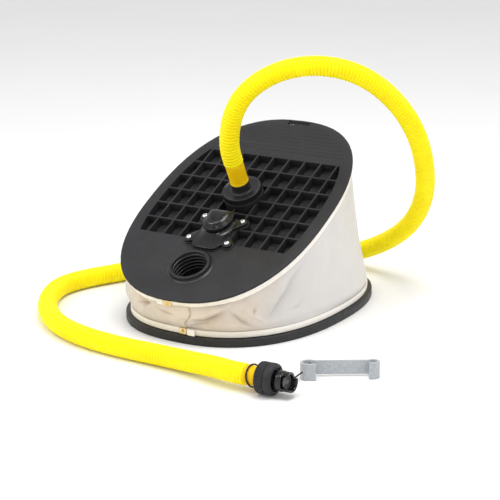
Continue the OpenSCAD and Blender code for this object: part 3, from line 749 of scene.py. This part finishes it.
def make_nozzle():
    profile = rounded([
        (9.5, 0), (13.2, 0, 0.5), (14.5, 0.9, 0.8), (14.9, 2.2, 0.8), (14.9, 8.9, 0.2), (14.1, 9.2, 0.1),
        (14.1, 9.7, 0.1), (14.9, 10.0, 0.4), (14.95, 14.2, 1.4), (14.5, 16.3, 1.0), (13.0, 17.3, 0.8),
        (11.4, 17.3, 0.4), (10.9, 16.6, 0.3), (10.9, 13), (10.6, 13), (10.6, 12.1), (12.4, 12.1), (12.4, 5),
        (9.5, 5)], 0.4, 4)
    nut = lathe("nozzle_ring_nut", nozzle, profile, BLACK_PLATE, "nozzle", NUT_RIDGES * 8,
                ripple=ridged(NUT_RIDGES, 0.85 * MM, 0.7 * MM, 9 * MM), smooth_angle=50)
    stand_for(nut, "ring_nut")
    profile = rounded([
        (7, 5.4), (12, 5.4), (12, 11.7), (10.2, 11.8), (10.2, 13.2), (8.6, 13.4), (8.6, 18.6), (9.7, 19.6),
        (9.7, 24.9), (9.3, 25.4), (9.3, 33.3, 1.0), (8.6, 34.5, 0.5), (7.9, 34.5, 0.3), (7.2, 33.5),
        (7.2, 24.4), (7, 24.2)], 0.4)
    body = lathe("bayonet_spigot", nozzle, profile, BLACK_GLOSS, "nozzle", 128, smooth_angle=35)
    # the bayonet's mouth: its near side is open, and its top is shorter than its far side
    for low, high in (((-7.5, -13, 25.4), (4.5, 0, 40)), ((-13, -13, 30.9), (4.4, 0.1, 41)),
                      ((-13, -1, 30.8), (-1.6, 14, 42))):
        cut(body, rounded_box("mouth", nozzle, low, high, BLACK_GLOSS, radius=0.9))
    shade(body, 35)
    stand_for(body, "nozzle_body")
    profile = rounded([
        (0.05, 8), (3.8, 8), (3.8, 25.6), (6.2, 25.9), (7.0, 26.6, 0.5), (7.0, 27.7, 0.5), (6.3, 28.3, 0.3),
        (5.7, 27.9, 0.3), (2.9, 27.9, 0.3), (2.3, 28.9, 0.5), (0.05, 29.2)], 0.3, closed=False)
    core = lathe("bayonet_core", nozzle, profile, CORE_PAINTED_LIT, "nozzle", 64, closed=False, capped=True)
    for turn in range(3):
        turned = nozzle @ Matrix.Rotation(turn * tau / 3, 4, "Z")
        spoke = rounded_box(f"core_spoke_{turn + 1}", turned, (3.4, -0.9, 8), (7.1, 0.9, 24),
                            BLACK_GLOSS, "nozzle")
        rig.slot(spoke, "black_gloss")
    stand_for(core, "nozzle_core")
    return nut, body, core


nozzle_pieces = make_nozzle()


# ---- Lanyard ----

def join(first, second):
    """The two meshes as one object, in the first one."""
    if first is None:
        return second
    bm = bmesh.new()
    bm.from_mesh(first.data)
    bm.from_mesh(second.data)
    written(bm, first.data)
    bpy.data.objects.remove(second)
    return first


LANYARD_R, LANYARD_LOOP, LEAN_MID, LEAN = 0.8 * MM, 10.3 * MM, -6.5 * MM, 2.5 * MM
LANYARD_ROUTE = [
    (142.7, -208.2, 12), (145.2, -205.2, 5.6), (149.1, -200.6, 2), (153, -195, 1.2), (156, -189, 2.2),
    (159, -182, 4.6), (161.4, -175.5, 7.2), (163, -170.4, 8.6),
]
KNOT_AT = Vector((0.1639, -0.1671, 0.009))


def make_lanyard():
    turn = []
    for i in range(12):
        a = radians(345 - 30 * i)
        local = (-LANYARD_LOOP * sin(a), LANYARD_LOOP * cos(a), LEAN_MID + LEAN * cos(a + radians(40)))
        turn.append(nozzle @ Vector(local))
    route = np.vstack([turn, np.array(LANYARD_ROUTE) * MM])
    start = (turn[1] - turn[0]).normalized()
    end = Vector(route[-1] - route[-2]).normalized()
    point_at, length = smooth_route(route, start, end)
    path = point_at(np.linspace(0, length, 320))
    cord = tube("lanyard_cord", path, LANYARD_R, CORD_BLACK, "base", sides=10, smooth_angle=80)
    return stand_for(cord, "lanyard"), path, length


def make_knot():
    """A small overhand knot, as a closed trefoil of the same cord, and the cord's cut end above it."""
    t = np.linspace(0, tau, 120, endpoint=False)
    loop = np.stack([(2 + np.cos(3 * t)) * np.cos(2 * t), (2 + np.cos(3 * t)) * np.sin(2 * t),
                     1.2 * np.sin(3 * t)], -1) * 0.95 * MM
    tilted = Matrix.Translation(KNOT_AT) @ Matrix.Rotation(0.7, 4, "X")
    path = place(tilted, np.vstack([loop, loop[:1]]))
    knot = tube("lanyard_knot_cord", path, LANYARD_R, CORD_BLACK, sides=10, smooth_angle=80)
    tail = [(0.3, 0.2, 1.2), (1.3, 0.1, 3.0), (0.5, 0.9, 4.6), (1.9, 0.6, 5.8), (3.2, -0.4, 6.2)]
    point_at, length = smooth_route([KNOT_AT + Vector(p) * MM for p in tail], (0.5, 0, 0.8), (0.8, -0.6, 0))
    end = tube("lanyard_tail", point_at(np.linspace(0, length, 40)), LANYARD_R * 0.9, CORD_BLACK,
               sides=10, smooth_angle=80)
    knot = join(knot, end)
    shade(knot, 80)
    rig.ride(knot, "base")
    return stand_for(knot, "lanyard_knot")


lanyard, lanyard_path, lanyard_length = make_lanyard()
knot = make_knot()


# ---- Storage clip ----

CLIP_T, CLIP_H, BAR_LOW, BAR_HIGH, BAR_L = 2.5 * MM, 16.2 * MM, 2 * MM, 15.6 * MM, 51 * MM


def arc(centre, radius, first, last, count=20):
    angles = np.radians(np.linspace(first, last, count))
    return [(centre[0] + radius * cos(a), centre[1] + radius * sin(a)) for a in angles]


def make_clip():
    """The clip in plan is one line of even thickness: rolled at its left, hooked at its right, with a lip at
    each end that comes back in front of the bar."""
    middle = CLIP_T / 2
    roll_r, hook_r = 7.2 * MM - middle, 5.9 * MM - middle
    roll, hook = (-7.5 * MM, roll_r + middle), (BAR_L + 2.4 * MM, hook_r + middle)
    line = [(x * MM, roll[1] + roll_r) for x in (-0.4, -2, -4)]
    line += arc(roll, roll_r, 90, 270, 26)
    line += [(x * MM, middle) for x in np.linspace(-6, BAR_L / MM + 1, 22)]
    line += arc(hook, hook_r, -90, 90, 22)
    line += [(hook[0] - x * MM, hook[1] + hook_r) for x in (1.5, 3, 4.5)]
    line = np.array(line)
    tangent = np.gradient(line, axis=0)
    tangent /= np.linalg.norm(tangent, axis=1)[:, None]
    across = np.stack([tangent[:, 1], -tangent[:, 0]], -1)
    rings = []
    for point, normal in zip(line, across):
        # the ends are as tall as the clip, and the bar between them is lower
        beyond = max(-2.5 * MM - point[0], point[0] - BAR_L) / MM
        end = 1.0 if point[1] > 2 * middle else np.clip(beyond / 2 + 0.5, 0, 1)
        low, high = BAR_LOW * (1 - end), BAR_HIGH + (CLIP_H - BAR_HIGH) * end
        outline = fillet([(-middle, low), (middle, low), (middle, high), (-middle, high)], 0.5 * MM, 4)
        rings.append([(*(point + normal * x), z) for x, z in outline])
    body = grid_piece("clip_body", place(clip, rings), CLIP_GREY, "base", capped=True, smooth_angle=50)
    stand_for(body, "storage_clip")


make_clip()

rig.cord(hose, exit=hose_path[0], length=hose_length, diameter=2 * HOSE_R, far_end="connector",
        stiffness="medium", lay="loose", path=hose_path, with_pieces=[nozzle_cuff, *nozzle_pieces])
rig.cord(lanyard, exit=lanyard_path[0], length=lanyard_length, diameter=2 * LANYARD_R, far_end="knot",
        stiffness="limp", lay="loose", path=lanyard_path, with_pieces=[knot])


# ---- Plates ----

def rim_rule(matrix, a, b, inner):
    """A rule for cad_copy(): an oval's level outer edges take the whole width, and others the inner share."""
    to_oval = matrix.inverted()
    inset = 1.8 * MM / a  # how far inside the oval its rim still counts

    def rule(edge):
        points = [to_oval @ v.co for v in edge.verts]
        level = abs(points[0].z - points[1].z) < 0.1 * MM
        outer = all((abs(p.x) / a) ** OVAL_POWER + (abs(p.y) / b) ** OVAL_POWER > 1 - inset for p in points)
        return 1.0 if level and outer else inner
    return rule


def make_plates():
    cad_copy("treadle_plate", "top_plate", BLACK_PLATE, "treadle", 1.3 * MM,
             rim_rule(plate, PLATE_A, PLATE_B, 0.24))
    cad_copy("floor_plate", "base_plate", BLACK_PLATE, "base", 0.9 * MM,
             rim_rule(Matrix.Identity(4), BASE_A, BASE_B, 0.2))


make_plates()

THREAD_PITCH, THREAD_DEPTH = 4.2 * MM, 1.5 * MM


def make_ports():
    """The deflation port's rounded rim and its thread, and the inflation port's low rim."""
    bore = PORT_R / MM
    profile = rounded([
        (bore, -1.5), (bore, 4, 0.5), (bore + 0.6, 4.9, 0.6), (21, 4.9, 1.2), (21.5, 3, 1), (21.8, 1, 1),
        (24, 0.1, 0.6), (24.2, -0.5)], 0.3, 5)
    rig.slot(lathe("deflation_port_rim", deflation, profile, BLACK_COLLAR, "treadle", 128), "black_plate")
    profile = rounded([(18.4, -2), (18.4, 3.8), (19, 4.45), (20.6, 4.45), (21.1, 3.8), (21.15, -0.5)], 0.4)
    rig.slot(lathe("inflation_port_rim", inflation, profile, BLACK_PLATE, "treadle", 128), "black_plate")
    turns, per_turn = 4.6, 96
    steps = int(turns * per_turn)
    section = [(0.4, -0.36), (-0.3, -0.28), (-0.85, -0.1), (-0.85, 0.1), (-0.3, 0.28), (0.4, 0.36)]
    rings = []
    for i in range(steps + 1):
        angle = tau * i / per_turn
        fade = min(1.0, i / 14, (steps - i) / 14)
        height = 1.6 * MM - THREAD_PITCH * i / per_turn
        radii = [PORT_R + r * THREAD_DEPTH * (fade if r < 0 else 1) for r, _ in section]
        rings.append([(r * cos(angle), r * sin(angle), height + z * THREAD_PITCH)
                      for r, (_, z) in zip(radii, section)])
    thread = grid_piece("deflation_port_thread", place(deflation, rings), BLACK_COLLAR, "treadle",
                        capped=True, smooth_angle=60)
    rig.slot(thread, "black_plate")


make_ports()


# ---- Hose collar ----

def make_collar():
    profile = rounded([
        (8.2, -15), (15.5, -15), (15.5, -5.2), (17.9, -5.2), (17.9, 4.7), (20.1, 4.7, 0.3), (20.8, 5.5, 0.4),
        (20.85, 6.2), (20.85, 9.6, 0.4), (20.5, 10.8, 0.7), (19.7, 11.4, 0.6), (18.8, 11.2, 0.6),
        (17.8, 10.4, 0.9), (11.8, 9.8, 1.4), (10.3, 10.3, 0.9), (9.7, 11.6, 0.9), (9.5, 13.4),
        (9.45, NECK_TOP - 0.4), (9.1, NECK_TOP), (8.2, NECK_TOP)], 0.3, 4)
    ridges = ridged(COLLAR_RIDGES, 0.4 * MM, 5.6 * MM, 11 * MM)
    collar = lathe("hose_collar_knurled", inflation, profile, BLACK_COLLAR, "collar", COLLAR_RIDGES * 6,
                   ripple=lambda a, r, z: ridges(a, r, z) if r > 19.9 * MM else 0.0, smooth_angle=50)
    stand_for(collar, "hose_collar")


make_collar()


# ---- Valve cover, its gasket and screws ----

SCREW_U, SCREW_V, EAR_R = 22.5 * MM, 16.8 * MM, 5.0 * MM
EARS = [(-1, -1), (-1, 1), (1, -1), (1, 1)]  # the signs of their screws' u and v
COVER_COLUMNS = 288


def reach(outline, angles):
    """How far a convex outline reaches from the origin at each angle. The outline runs anticlockwise."""
    p = np.array(outline)
    edge = np.roll(p, -1, axis=0) - p
    normal = np.stack([edge[:, 1], -edge[:, 0]], -1)
    distance = (normal * p).sum(1)
    facing = np.cos(angles)[:, None] * normal[:, 0] + np.sin(angles)[:, None] * normal[:, 1]
    lengths = np.where(facing > 1e-12, distance / np.maximum(facing, 1e-12), np.inf)
    return lengths.min(1)


def tombstone(half_width, toe, heel, middle, toe_power, heel_power=5.0, count=160):
    """An outline with a round toe end and a squarer heel end, either side of middle."""
    t = np.arange(count) * tau / count
    at_toe = np.sin(t) < 0
    power = np.where(at_toe, toe_power, heel_power)
    v = np.where(at_toe, middle - toe, heel - middle) * side(np.sin(t), power)
    u = half_width * side(np.cos(t), power)
    return np.stack([u, middle + v], -1)


def ear_outline(su, sv, grow):
    """A tapered ear: a circle round the screw drawn in to the cover's middle. It runs anticlockwise."""
    centre = np.array([su * SCREW_U, sv * SCREW_V])
    distance = np.linalg.norm(centre)
    inner, outer = 10 * MM, EAR_R + grow
    lean = np.arccos((inner - outer) / distance)
    heading = atan2(centre[1], centre[0])
    near = np.linspace(heading + lean, heading + tau - lean, 24)
    far = np.linspace(heading - lean, heading + lean, 24)
    return np.vstack([polar(inner, near), centre + polar(outer, far)])


def cover_row(angles, inset, w, outline, ears=False, grow=0.0):
    """The outline, drawn in by the inset, at the height w. The ears can stand out further."""
    lengths = reach(outline, angles) - inset
    for su, sv in EARS if ears else ():
        lengths = np.maximum(lengths, reach(ear_outline(su, sv, grow - inset), angles))
    return polar(lengths, angles, np.full(len(angles), w))


def make_cover():
    angles = np.arange(COVER_COLUMNS) * tau / COVER_COLUMNS
    foot = tombstone(17.6 * MM, -28 * MM, 22 * MM, 4 * MM, 4.5)
    hood = tombstone(14.8 * MM, -8.8 * MM, 21.8 * MM, 6 * MM, 2.0)
    rows = [cover_row(angles, inset * MM, w * MM, foot, True)
            for inset, w in ((0.2, 1.1), (0, 1.5), (0, 3.2), (0.2, 3.6), (0.6, 3.8))]
    # the skirt sweeps up from the foot's edge to the hood
    foot_row = cover_row(angles, 0.9 * MM, 3.8 * MM, foot)
    hood_row = cover_row(angles, 0.2 * MM, 3.8 * MM, hood)
    for share in (0.0, 0.15, 0.3, 0.45, 0.6, 0.72, 0.82, 0.9, 0.96, 1.0):
        row = foot_row * (1 - share) + hood_row * share
        row[:, 2] = (3.8 + 2.6 * share ** 2.4) * MM
        rows.append(row)
    wall = [(0.9, 6.2), (1.0, 6.6), (0.9, 7.0), (0.3, 7.2), (0.1, 7.5), (0.1, 10.8), (0.3, 11.2)]
    for step in range(4):
        inward, up = 0.9 * step, 0.9 * step
        wall += [(0.5 + inward, 11.3 + up), (1.1 + inward, 11.4 + up), (1.2 + inward, 11.6 + up),
                 (1.2 + inward, 12.1 + up)]
    wall += [(4.5, 15.2), (5.6, 15.7), (7.5, 16.2), (9.5, 16.5), (11.0, 16.6)]
    rows += [cover_row(angles, inset * MM, w * MM, hood) for inset, w in wall]
    body = grid_piece("valve_cover_moulding", place(cover, rows), BLACK_GLOSS, "treadle", capped=True,
                      smooth_angle=42)
    stand_for(body, "valve_cover")
    gasket = [cover_row(angles, inset, w * MM, foot, True, 0.7 * MM)
              for inset, w in ((-0.3 * MM, 0.05), (-0.5 * MM, 0.3), (-0.5 * MM, 0.8), (-0.3 * MM, 1.05))]
    stand_for(grid_piece("cover_gasket_rubber", place(cover, gasket), RUBBER, "treadle", capped=True),
              "cover_gasket")


def make_screws():
    profile = rounded([
        (0.05, -11.6), (0.6, -11.6), (1.45, -10), (1.45, 0), (2.7, 0, 0.1), (2.95, 0.3, 0.2),
        (2.9, 0.9, 0.5), (2.3, 1.8, 0.8), (1.2, 2.25, 0.6), (0.05, 2.35)], 0.1, closed=False)
    joined = None
    for su, sv in EARS:
        turned = Matrix.Rotation(0.5 + su * 0.9 + sv * 0.4, 4, "Z")
        at = cover @ Matrix.Translation((su * SCREW_U, sv * SCREW_V, 3.85 * MM)) @ turned
        screw = lathe("screw", at, profile, CHROME, None, 40, closed=False, capped=True)
        for turn in (0, pi / 2):
            cross = at @ Matrix.Rotation(turn, 4, "Z")
            cut(screw, rounded_box("recess", cross, (-1.5, -0.32, 1.1), (1.5, 0.32, 4), CHROME, radius=0))
        joined = join(joined, screw)
    joined.name = "cover_screws_chrome"
    shade(joined, 35)
    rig.ride(joined, "treadle")
    stand_for(joined, "cover_screws")


make_cover()
make_screws()


# ---- Bellows ----

BELLOWS_COLUMNS, BELLOWS_ROWS = 840, 76
TUCKED = 14 * MM  # the fabric's height behind the two straps
# The free edge of the overlapped seam: (share of the wall's height, mm round the wall from the toe's middle)
SEAM = [(0, 13.5), (0.25, 14), (0.42, 17), (0.56, 21), (0.7, 23.2), (0.85, 23), (1, 22)]
# The slack toe's folds: their line, as (mm round the wall, share of its height), then how far in mm they
# reach on its left, reach on its right and stand out, then how much painted shade darkens them
FOLDS = [
    ([(19, 0.52), (34, 0.6), (46, 0.74), (62, 0.92)], 7.0, 1.5, 4.4, 0.0),
    ([(21, 0.4), (35, 0.46), (46, 0.62), (58, 0.78)], 1.2, 5.0, -3.4, 0.9),
    ([(15, 0.08), (28, 0.28), (38, 0.42)], 2.0, 5.0, -3.4, 0.4),
    ([(62, 0.68), (70, 0.36), (80, 0.12)], 3.2, 1.6, -3.6, 0.35),
    ([(72, 0.8), (80, 0.5), (92, 0.2)], 4.0, 2.2, 2.6, 0.0),
    ([(83, 0.46), (87, 0.62)], 1.6, 1.2, -2.4, 0.45),
    ([(88, 0.22), (104, 0.36), (114, 0.5), (126, 0.62), (140, 0.8), (156, 0.88)], 3.0, 7.0, -4.0, 0.25),
    ([(96, 0.66), (106, 0.6), (118, 0.72), (132, 0.92)], 5.0, 3.0, 2.8, 0.0),
    ([(124, 0.26), (136, 0.27), (146, 0.33)], 2.0, 2.0, -1.6, 0.15),
    ([(-80, 0.8), (-64, 0.5), (-46, 0.16)], 1.6, 4.0, 4.6, 0.0),
    ([(-92, 0.4), (-72, 0.32), (-54, 0.14)], 7.0, 5.0, -4.6, 0.4),
    ([(-22, 0.9), (-31, 0.58), (-43, 0.2)], 6.0, 2.0, 4.4, 0.0),
    ([(-23, 0.88), (-31, 0.76), (-44, 0.62)], 4.0, 2.0, -4.2, 0.8),
    ([(-44, 0.92), (-34, 0.84), (-27, 0.85)], 1.6, 1.6, -2.2, 0.5),
    ([(-15, 0.7), (-7, 0.62), (2, 0.58)], 1.4, 2.4, -2.4, 0.55),
]


def crease(run, rise, points, left, right):
    """How close each point is to a fold's line, from 0 to 1, with its own reach on either side."""
    best, share, over = np.full_like(run, 1e9), np.zeros_like(run), np.zeros_like(run)
    for k, ((x0, y0), (x1, y1)) in enumerate(zip(points, points[1:])):
        dx, dy = x1 - x0, y1 - y0
        along = np.clip(((run - x0) * dx + (rise - y0) * dy) / (dx * dx + dy * dy), 0, 1)
        far = np.hypot(run - x0 - along * dx, rise - y0 - along * dy)
        nearer = far < best
        best = np.where(nearer, far, best)
        share = np.where(nearer, (k + along) / (len(points) - 1), share)
        over = np.where(nearer, dx * (rise - y0) - dy * (run - x0), over)
    fade = np.sin(np.clip(share, 0.03, 0.97) * pi) ** 0.5
    return fade * np.exp(-(best / np.where(over > 0, left, right)) ** 1.3)


def folds(run, t, height):
    """How far the slack fabric stands out at each point, and how much painted shade darkens it, from 0 to 1. run is
    measured round the wall from the middle of the toe."""
    near_toe = np.clip(1.25 - np.abs(run) / (100 * MM), 0, 1)
    depth = 2.2 * MM * near_toe * np.sin(pi * t) ** 0.8
    painted_shade = np.zeros_like(run)
    for line, left, right, stands, painted_darkness in FOLDS:
        points = [(x * MM, share * np.interp(x * MM, run, height)) for x, share in line]
        near = crease(run, t * height, points, left * MM, right * MM)
        depth += stands * MM * near
        # the fold's painted shade, strongest on its line
        painted_shade = np.maximum(painted_shade, painted_darkness * near ** 2)
    edge = np.interp(t, *zip(*SEAM)) * MM
    lap = np.clip((edge - run) / (0.8 * MM), 0, 1) * np.clip((run - edge + 16 * MM) / (3 * MM), 0, 1)
    # painted shade: a thin dark line just past the seam's free edge, where the overlapping flap stands over the wall
    painted_shade = np.maximum(painted_shade, 0.8 * np.exp(-((run - edge - 0.4 * MM) / (0.7 * MM)) ** 2))
    return depth + 1.1 * MM * lap, painted_shade


def make_bellows():
    turns = even_turns(BASE_A, BASE_B, BELLOWS_COLUMNS)
    low, high = base_ring(6 * MM, 15.0 * MM, turns), plate_ring(3.3 * MM, -9.6 * MM, turns)
    out = np.column_stack([np.gradient(low[:, 1]), -np.gradient(low[:, 0])])
    out /= np.linalg.norm(out, axis=1)[:, None]
    steps = np.linalg.norm(np.diff(low, axis=0, append=low[:1]), axis=1)
    perimeter = steps.sum()
    run = np.r_[0, np.cumsum(steps)[:-1]]
    # runs from the middle of the toe, which is three quarters of the way round, in rising order
    from_toe = (run - 0.75 * perimeter + perimeter / 2) % perimeter - perimeter / 2
    order = np.argsort(from_toe)
    height = np.linalg.norm(high - low, axis=1)
    # behind the base strap, the free wall, and behind the top strap
    rings = [base_ring(6.1 * MM, FLANGE_H + 0.3 * MM, turns), base_ring(6.1 * MM, 14.4 * MM, turns)]
    shares, painted_darkness = [0.0, 0.0], [np.zeros(BELLOWS_COLUMNS)] * 2
    for row in range(BELLOWS_ROWS):
        t = row / (BELLOWS_ROWS - 1)
        ring = low * (1 - t) + high * t
        rise, drop = height * t, height * (1 - t)
        # the fabric swells just past each strap
        swell = 3.4 * MM * np.sin(np.clip(rise / (9 * MM), 0, 1) * pi / 2) * np.exp(-rise / (30 * MM))
        swell += 0.9 * MM * np.sin(np.clip(drop / (5 * MM), 0, 1) * pi / 2) * np.exp(-drop / (16 * MM))
        # taut walls draw in between the plates where they are tall
        draw = 3.4 * MM * np.clip(height / (110 * MM), 0, 1) ** 1.2 * sin(pi * t)
        depth, painted_shade = np.empty(BELLOWS_COLUMNS), np.empty(BELLOWS_COLUMNS)
        depth[order], painted_shade[order] = folds(from_toe[order], np.full(BELLOWS_COLUMNS, t), height[order])
        edge = np.clip(np.minimum(rise, drop) / (5 * MM), 0, 1)
        soft = np.array([waves(from_toe[i], rise[i], height[i]) for i in range(BELLOWS_COLUMNS)])
        depth += swell - draw + soft * edge
        ring[:, :2] += out * depth[:, None]
        rings.append(ring)
        shares.append(t)
        painted_darkness.append(painted_shade)
    rings += [plate_ring(3.4 * MM, -9.2 * MM, turns), plate_ring(3.4 * MM, -3.2 * MM, turns)]
    shares += [1.0, 1.0]
    painted_darkness += [np.zeros(BELLOWS_COLUMNS)] * 2
    wall = grid_piece("bellows_fabric", rings, FABRIC, smooth_angle=75)
    # the fold attribute carries the painted shade of the folds and of the seam's edge
    for name, values in (("share", np.repeat(shares, BELLOWS_COLUMNS)), ("fold", np.ravel(painted_darkness))):
        layer = wall.data.attributes.new(name, "FLOAT", "POINT")
        layer.data.foreach_set("value", values.astype(np.float32))
    thick = wall.modifiers.new("thick", "SOLIDIFY")
    thick.thickness = 0.8 * MM
    thick.offset = -1
    apply_modifiers(wall)
    values = np.empty(len(wall.data.vertices), np.float32)
    wall.data.attributes["share"].data.foreach_get("value", values)
    wall.data.attributes.remove(wall.data.attributes["share"])
    unrolled_blend(wall, values, "base", "treadle", 0.0, 1.0)
    stand_for(wall, "bellows")
    area = float(perimeter * (height.mean() + TUCKED))
    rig.sheet(wall, flat=(float(perimeter), float(height.max() + TUCKED)), held="stretched",
             rests_on=["floor_plate", "treadle_plate"], area=area)


def waves(run, rise, height):
    """Soft slanting waves on the tall walls. The wall starts and ends at the heel, where they fade."""
    tall = min(1.0, height / 0.07)
    heel = min(1.0, (0.41 - abs(run)) / 0.03)
    slanted = Vector((run * 16 - rise * 11, rise * 5.0, 1.7))
    broad = noise.noise(slanted) * 2.6 * MM * max(0.0, heel)
    small = noise.noise(Vector((run * 60 - rise * 30, rise * 16, 7.3))) * 0.7 * MM * max(0.0, heel)
    return broad * tall + small


make_bellows()


# ---- Straps, crimps and keepers ----

STRAP_T, STRAP_H = 1.2 * MM, 6 * MM
SLEEVE_OVER = 0.4 * MM  # how far the crimps and keepers reach past the strap's edges
BASE_STRAP_Z, BASE_STRAP_INSET = 8.6 * MM, 4.6 * MM
TOP_STRAP_W, TOP_STRAP_INSET = -9.5 * MM, 1.8 * MM


def strap_section(low):
    """The strap's section as (offset outwards, height), with rounded corners."""
    high = low + STRAP_H
    return fillet([(0, low), (-STRAP_T, low), (-STRAP_T, high), (0, high)], 0.4 * MM, 4)


def make_straps():
    turns = even_turns(BASE_A, BASE_B, 480)
    rows = [base_ring(BASE_STRAP_INSET - offset, z, turns) for offset, z in strap_section(BASE_STRAP_Z)]
    stand_for(grid_piece("base_strap", rows, STRAP, "base", loop=True), "base_band")
    rows = [plate_ring(TOP_STRAP_INSET - offset, w, turns) for offset, w in strap_section(TOP_STRAP_W)]
    stand_for(grid_piece("top_strap", rows, STRAP, "treadle", loop=True), "top_band")


def sleeve(name, matrix, x0, x1, thick, material, body, dimple):
    """A flattened sleeve on a strap, with a pressed dimple in its face. Y points out of the strap."""
    columns, rows = 28, 20
    width, low, height = x1 - x0, -SLEEVE_OVER, STRAP_H + 2 * SLEEVE_OVER
    bm = bmesh.new()
    grid = []
    for j in range(rows + 1):
        line = []
        for i in range(columns + 1):
            a, b = i / columns, j / rows
            edge = min(a, 1 - a) * width, min(b, 1 - b) * height
            full = np.prod([1 - (1 - min(1, e / (0.7 * MM))) ** 2.5 for e in edge])
            pressed = dimple * np.exp(-((a - 0.5) / 0.2) ** 2 - ((b - 0.5) / 0.22) ** 2)
            y = thick * (0.25 + 0.75 * full) - pressed
            line.append(bm.verts.new((x0 + a * width, y, low + b * height)))
        grid.append(line)
    for j in range(rows):
        for i in range(columns):
            bm.faces.new((grid[j][i], grid[j][i + 1], grid[j + 1][i + 1], grid[j + 1][i]))
    border = [e for e in bm.edges if e.is_boundary]
    pushed = bmesh.ops.extrude_edge_only(bm, edges=border)
    for v in pushed["geom"]:
        if isinstance(v, bmesh.types.BMVert):
            v.co.y = -0.1 * MM
    bmesh.ops.holes_fill(bm, edges=[e for e in bm.edges if e.is_boundary])
    bmesh.ops.recalc_face_normals(bm, faces=bm.faces)
    bm.transform(matrix)
    return add_object(name, written(bm, bpy.data.meshes.new(name)), material, body, 50)


def make_fittings():
    """The crimp and the keeper of each strap, at the toe. Widths run from x0 to x1, in millimetres."""
    base_toe = Matrix.Translation((0, BASE_STRAP_INSET - BASE_B, BASE_STRAP_Z)) @ MIRROR_Y
    top_toe = plate @ Matrix.Translation((0, TOP_STRAP_INSET - PLATE_B, TOP_STRAP_W)) @ MIRROR_Y
    for strap, fitting, toe, body, material, x0, x1, thick, dimple in (
            ("base", "crimp", base_toe, "base", CRIMP, 5, 13.6, 1.6, 0.9),
            ("base", "keeper", base_toe, "base", STRAP, 14.2, 23.4, 1.8, 0.0),
            ("top", "crimp", top_toe, "treadle", CRIMP, -6, 3, 1.6, 0.8),
            ("top", "keeper", top_toe, "treadle", STRAP, -14.5, -6.6, 1.6, 0.0)):
        obj = sleeve(f"{strap}_strap_{fitting}", toe, x0 * MM, x1 * MM, thick * MM, material, body,
                     dimple * MM)
        stand_for(obj, f"{strap}_band_{fitting}")


make_straps()
make_fittings()


# ---- Inside: spring, valves and seals ----

SPRING_R, WIRE_R, SPRING_TURNS = 22 * MM, 1.6 * MM, 6


def make_spring():
    """A coil whose axis bends on an arc, square to the base at its foot and to the treadle at its head."""
    tilt = atan2(-plate.col[2][1], plate.col[2][2])
    foot = FLANGE_H + WIRE_R + 0.2 * MM
    head = plate @ Vector((0, 60.5 * MM, -12 * MM - WIRE_R - 0.2 * MM))
    spring_y = head.y + (head.z - foot) * np.tan(tilt / 2)
    bend = (head.z - foot) / sin(tilt)
    share = np.linspace(0, 1, SPRING_TURNS * 36)
    angle = tilt * share
    turn = tau * SPRING_TURNS * share
    across, along = SPRING_R * np.cos(turn), SPRING_R * np.sin(turn)
    path = np.stack([across, spring_y - bend * (1 - np.cos(angle)) + along * np.cos(angle),
                     foot + bend * np.sin(angle) + along * np.sin(angle)], -1)
    spring = tube("return_coil_spring", path, WIRE_R, SPRING_STEEL, sides=12, smooth_angle=70)
    unrolled_blend(spring, np.repeat(share, 12), "base", "treadle", 0.05, 0.95)
    stand_for(spring, "return_spring")


make_spring()

for node_name in ("inlet_valve", "outlet_valve", "collar_seal", "nozzle_seal"):
    data = frame["nodes"][node_name].data
    data.materials.clear()
    data.materials.append(RUBBER)


# ---- Floor, light and world ----

def make_stage():
    bm = bmesh.new()
    bmesh.ops.create_grid(bm, x_segments=8, y_segments=8, size=8.0)
    g = Graph("floor_white", Specular_IOR_Level=0.2)
    color = g.mix(g.spread(g.noise(3.0)), (0.93, 0.93, 0.93), (0.915, 0.915, 0.915))
    white = g.finish(color, g.spread(g.noise(40.0), 0.55, 0.62), g.bump(g.noise(400.0), 0.01 * MM))
    floor = add_object("floor", written(bm, bpy.data.meshes.new("floor")), white)
    floor.location = (0, 0, -0.05 * MM)
    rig.stage(floor)


def area_light(name, position, target, size, power):
    data = bpy.data.lights.new(name, "AREA")
    data.shape = "RECTANGLE"
    data.size, data.size_y = size
    data.energy = power
    light = bpy.data.objects.new(name, data)
    scene.collection.objects.link(light)
    light.location = position
    light.rotation_euler = (Vector(position) - Vector(target)).to_track_quat("Z", "Y").to_euler()


def make_world():
    """A white room, bright round the horizon and darker overhead."""
    world = bpy.data.worlds.new("studio")
    world.use_nodes = True
    tree = world.node_tree
    direction, parts, ramp = [tree.nodes.new("ShaderNode" + kind)
                              for kind in ("TexCoord", "SeparateXYZ", "MapRange")]
    for socket, value in (("From Min", 0.35), ("From Max", 0.85), ("To Min", 1.0), ("To Max", 0.55)):
        ramp.inputs[socket].default_value = value
    background = tree.nodes["Background"]
    tree.links.new(direction.outputs["Generated"], parts.inputs["Vector"])
    tree.links.new(parts.outputs["Z"], ramp.inputs["Value"])
    tree.links.new(ramp.outputs["Result"], background.inputs["Strength"])
    background.inputs["Color"].default_value = (1, 1, 1, 1)
    scene.world = world


make_stage()
area_light("softbox_above", (0.5, -0.1, 1.9), (0, 0, 0.05), (1.0, 1.0), 20)
area_light("softbox_left", (-0.95, -1.1, 1.25), (0, 0, 0.08), (0.35, 0.8), 5)
area_light("softbox_front", (-0.27, -0.83, 1.57), (0, 0, 0.1), (0.22, 0.22), 4)
make_world()
scene.view_settings.view_transform = "Standard"

with open("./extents.json", "w") as out:
    json.dump({"cad": cad_box, "visual": [list(corner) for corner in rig.bounds()]}, out)
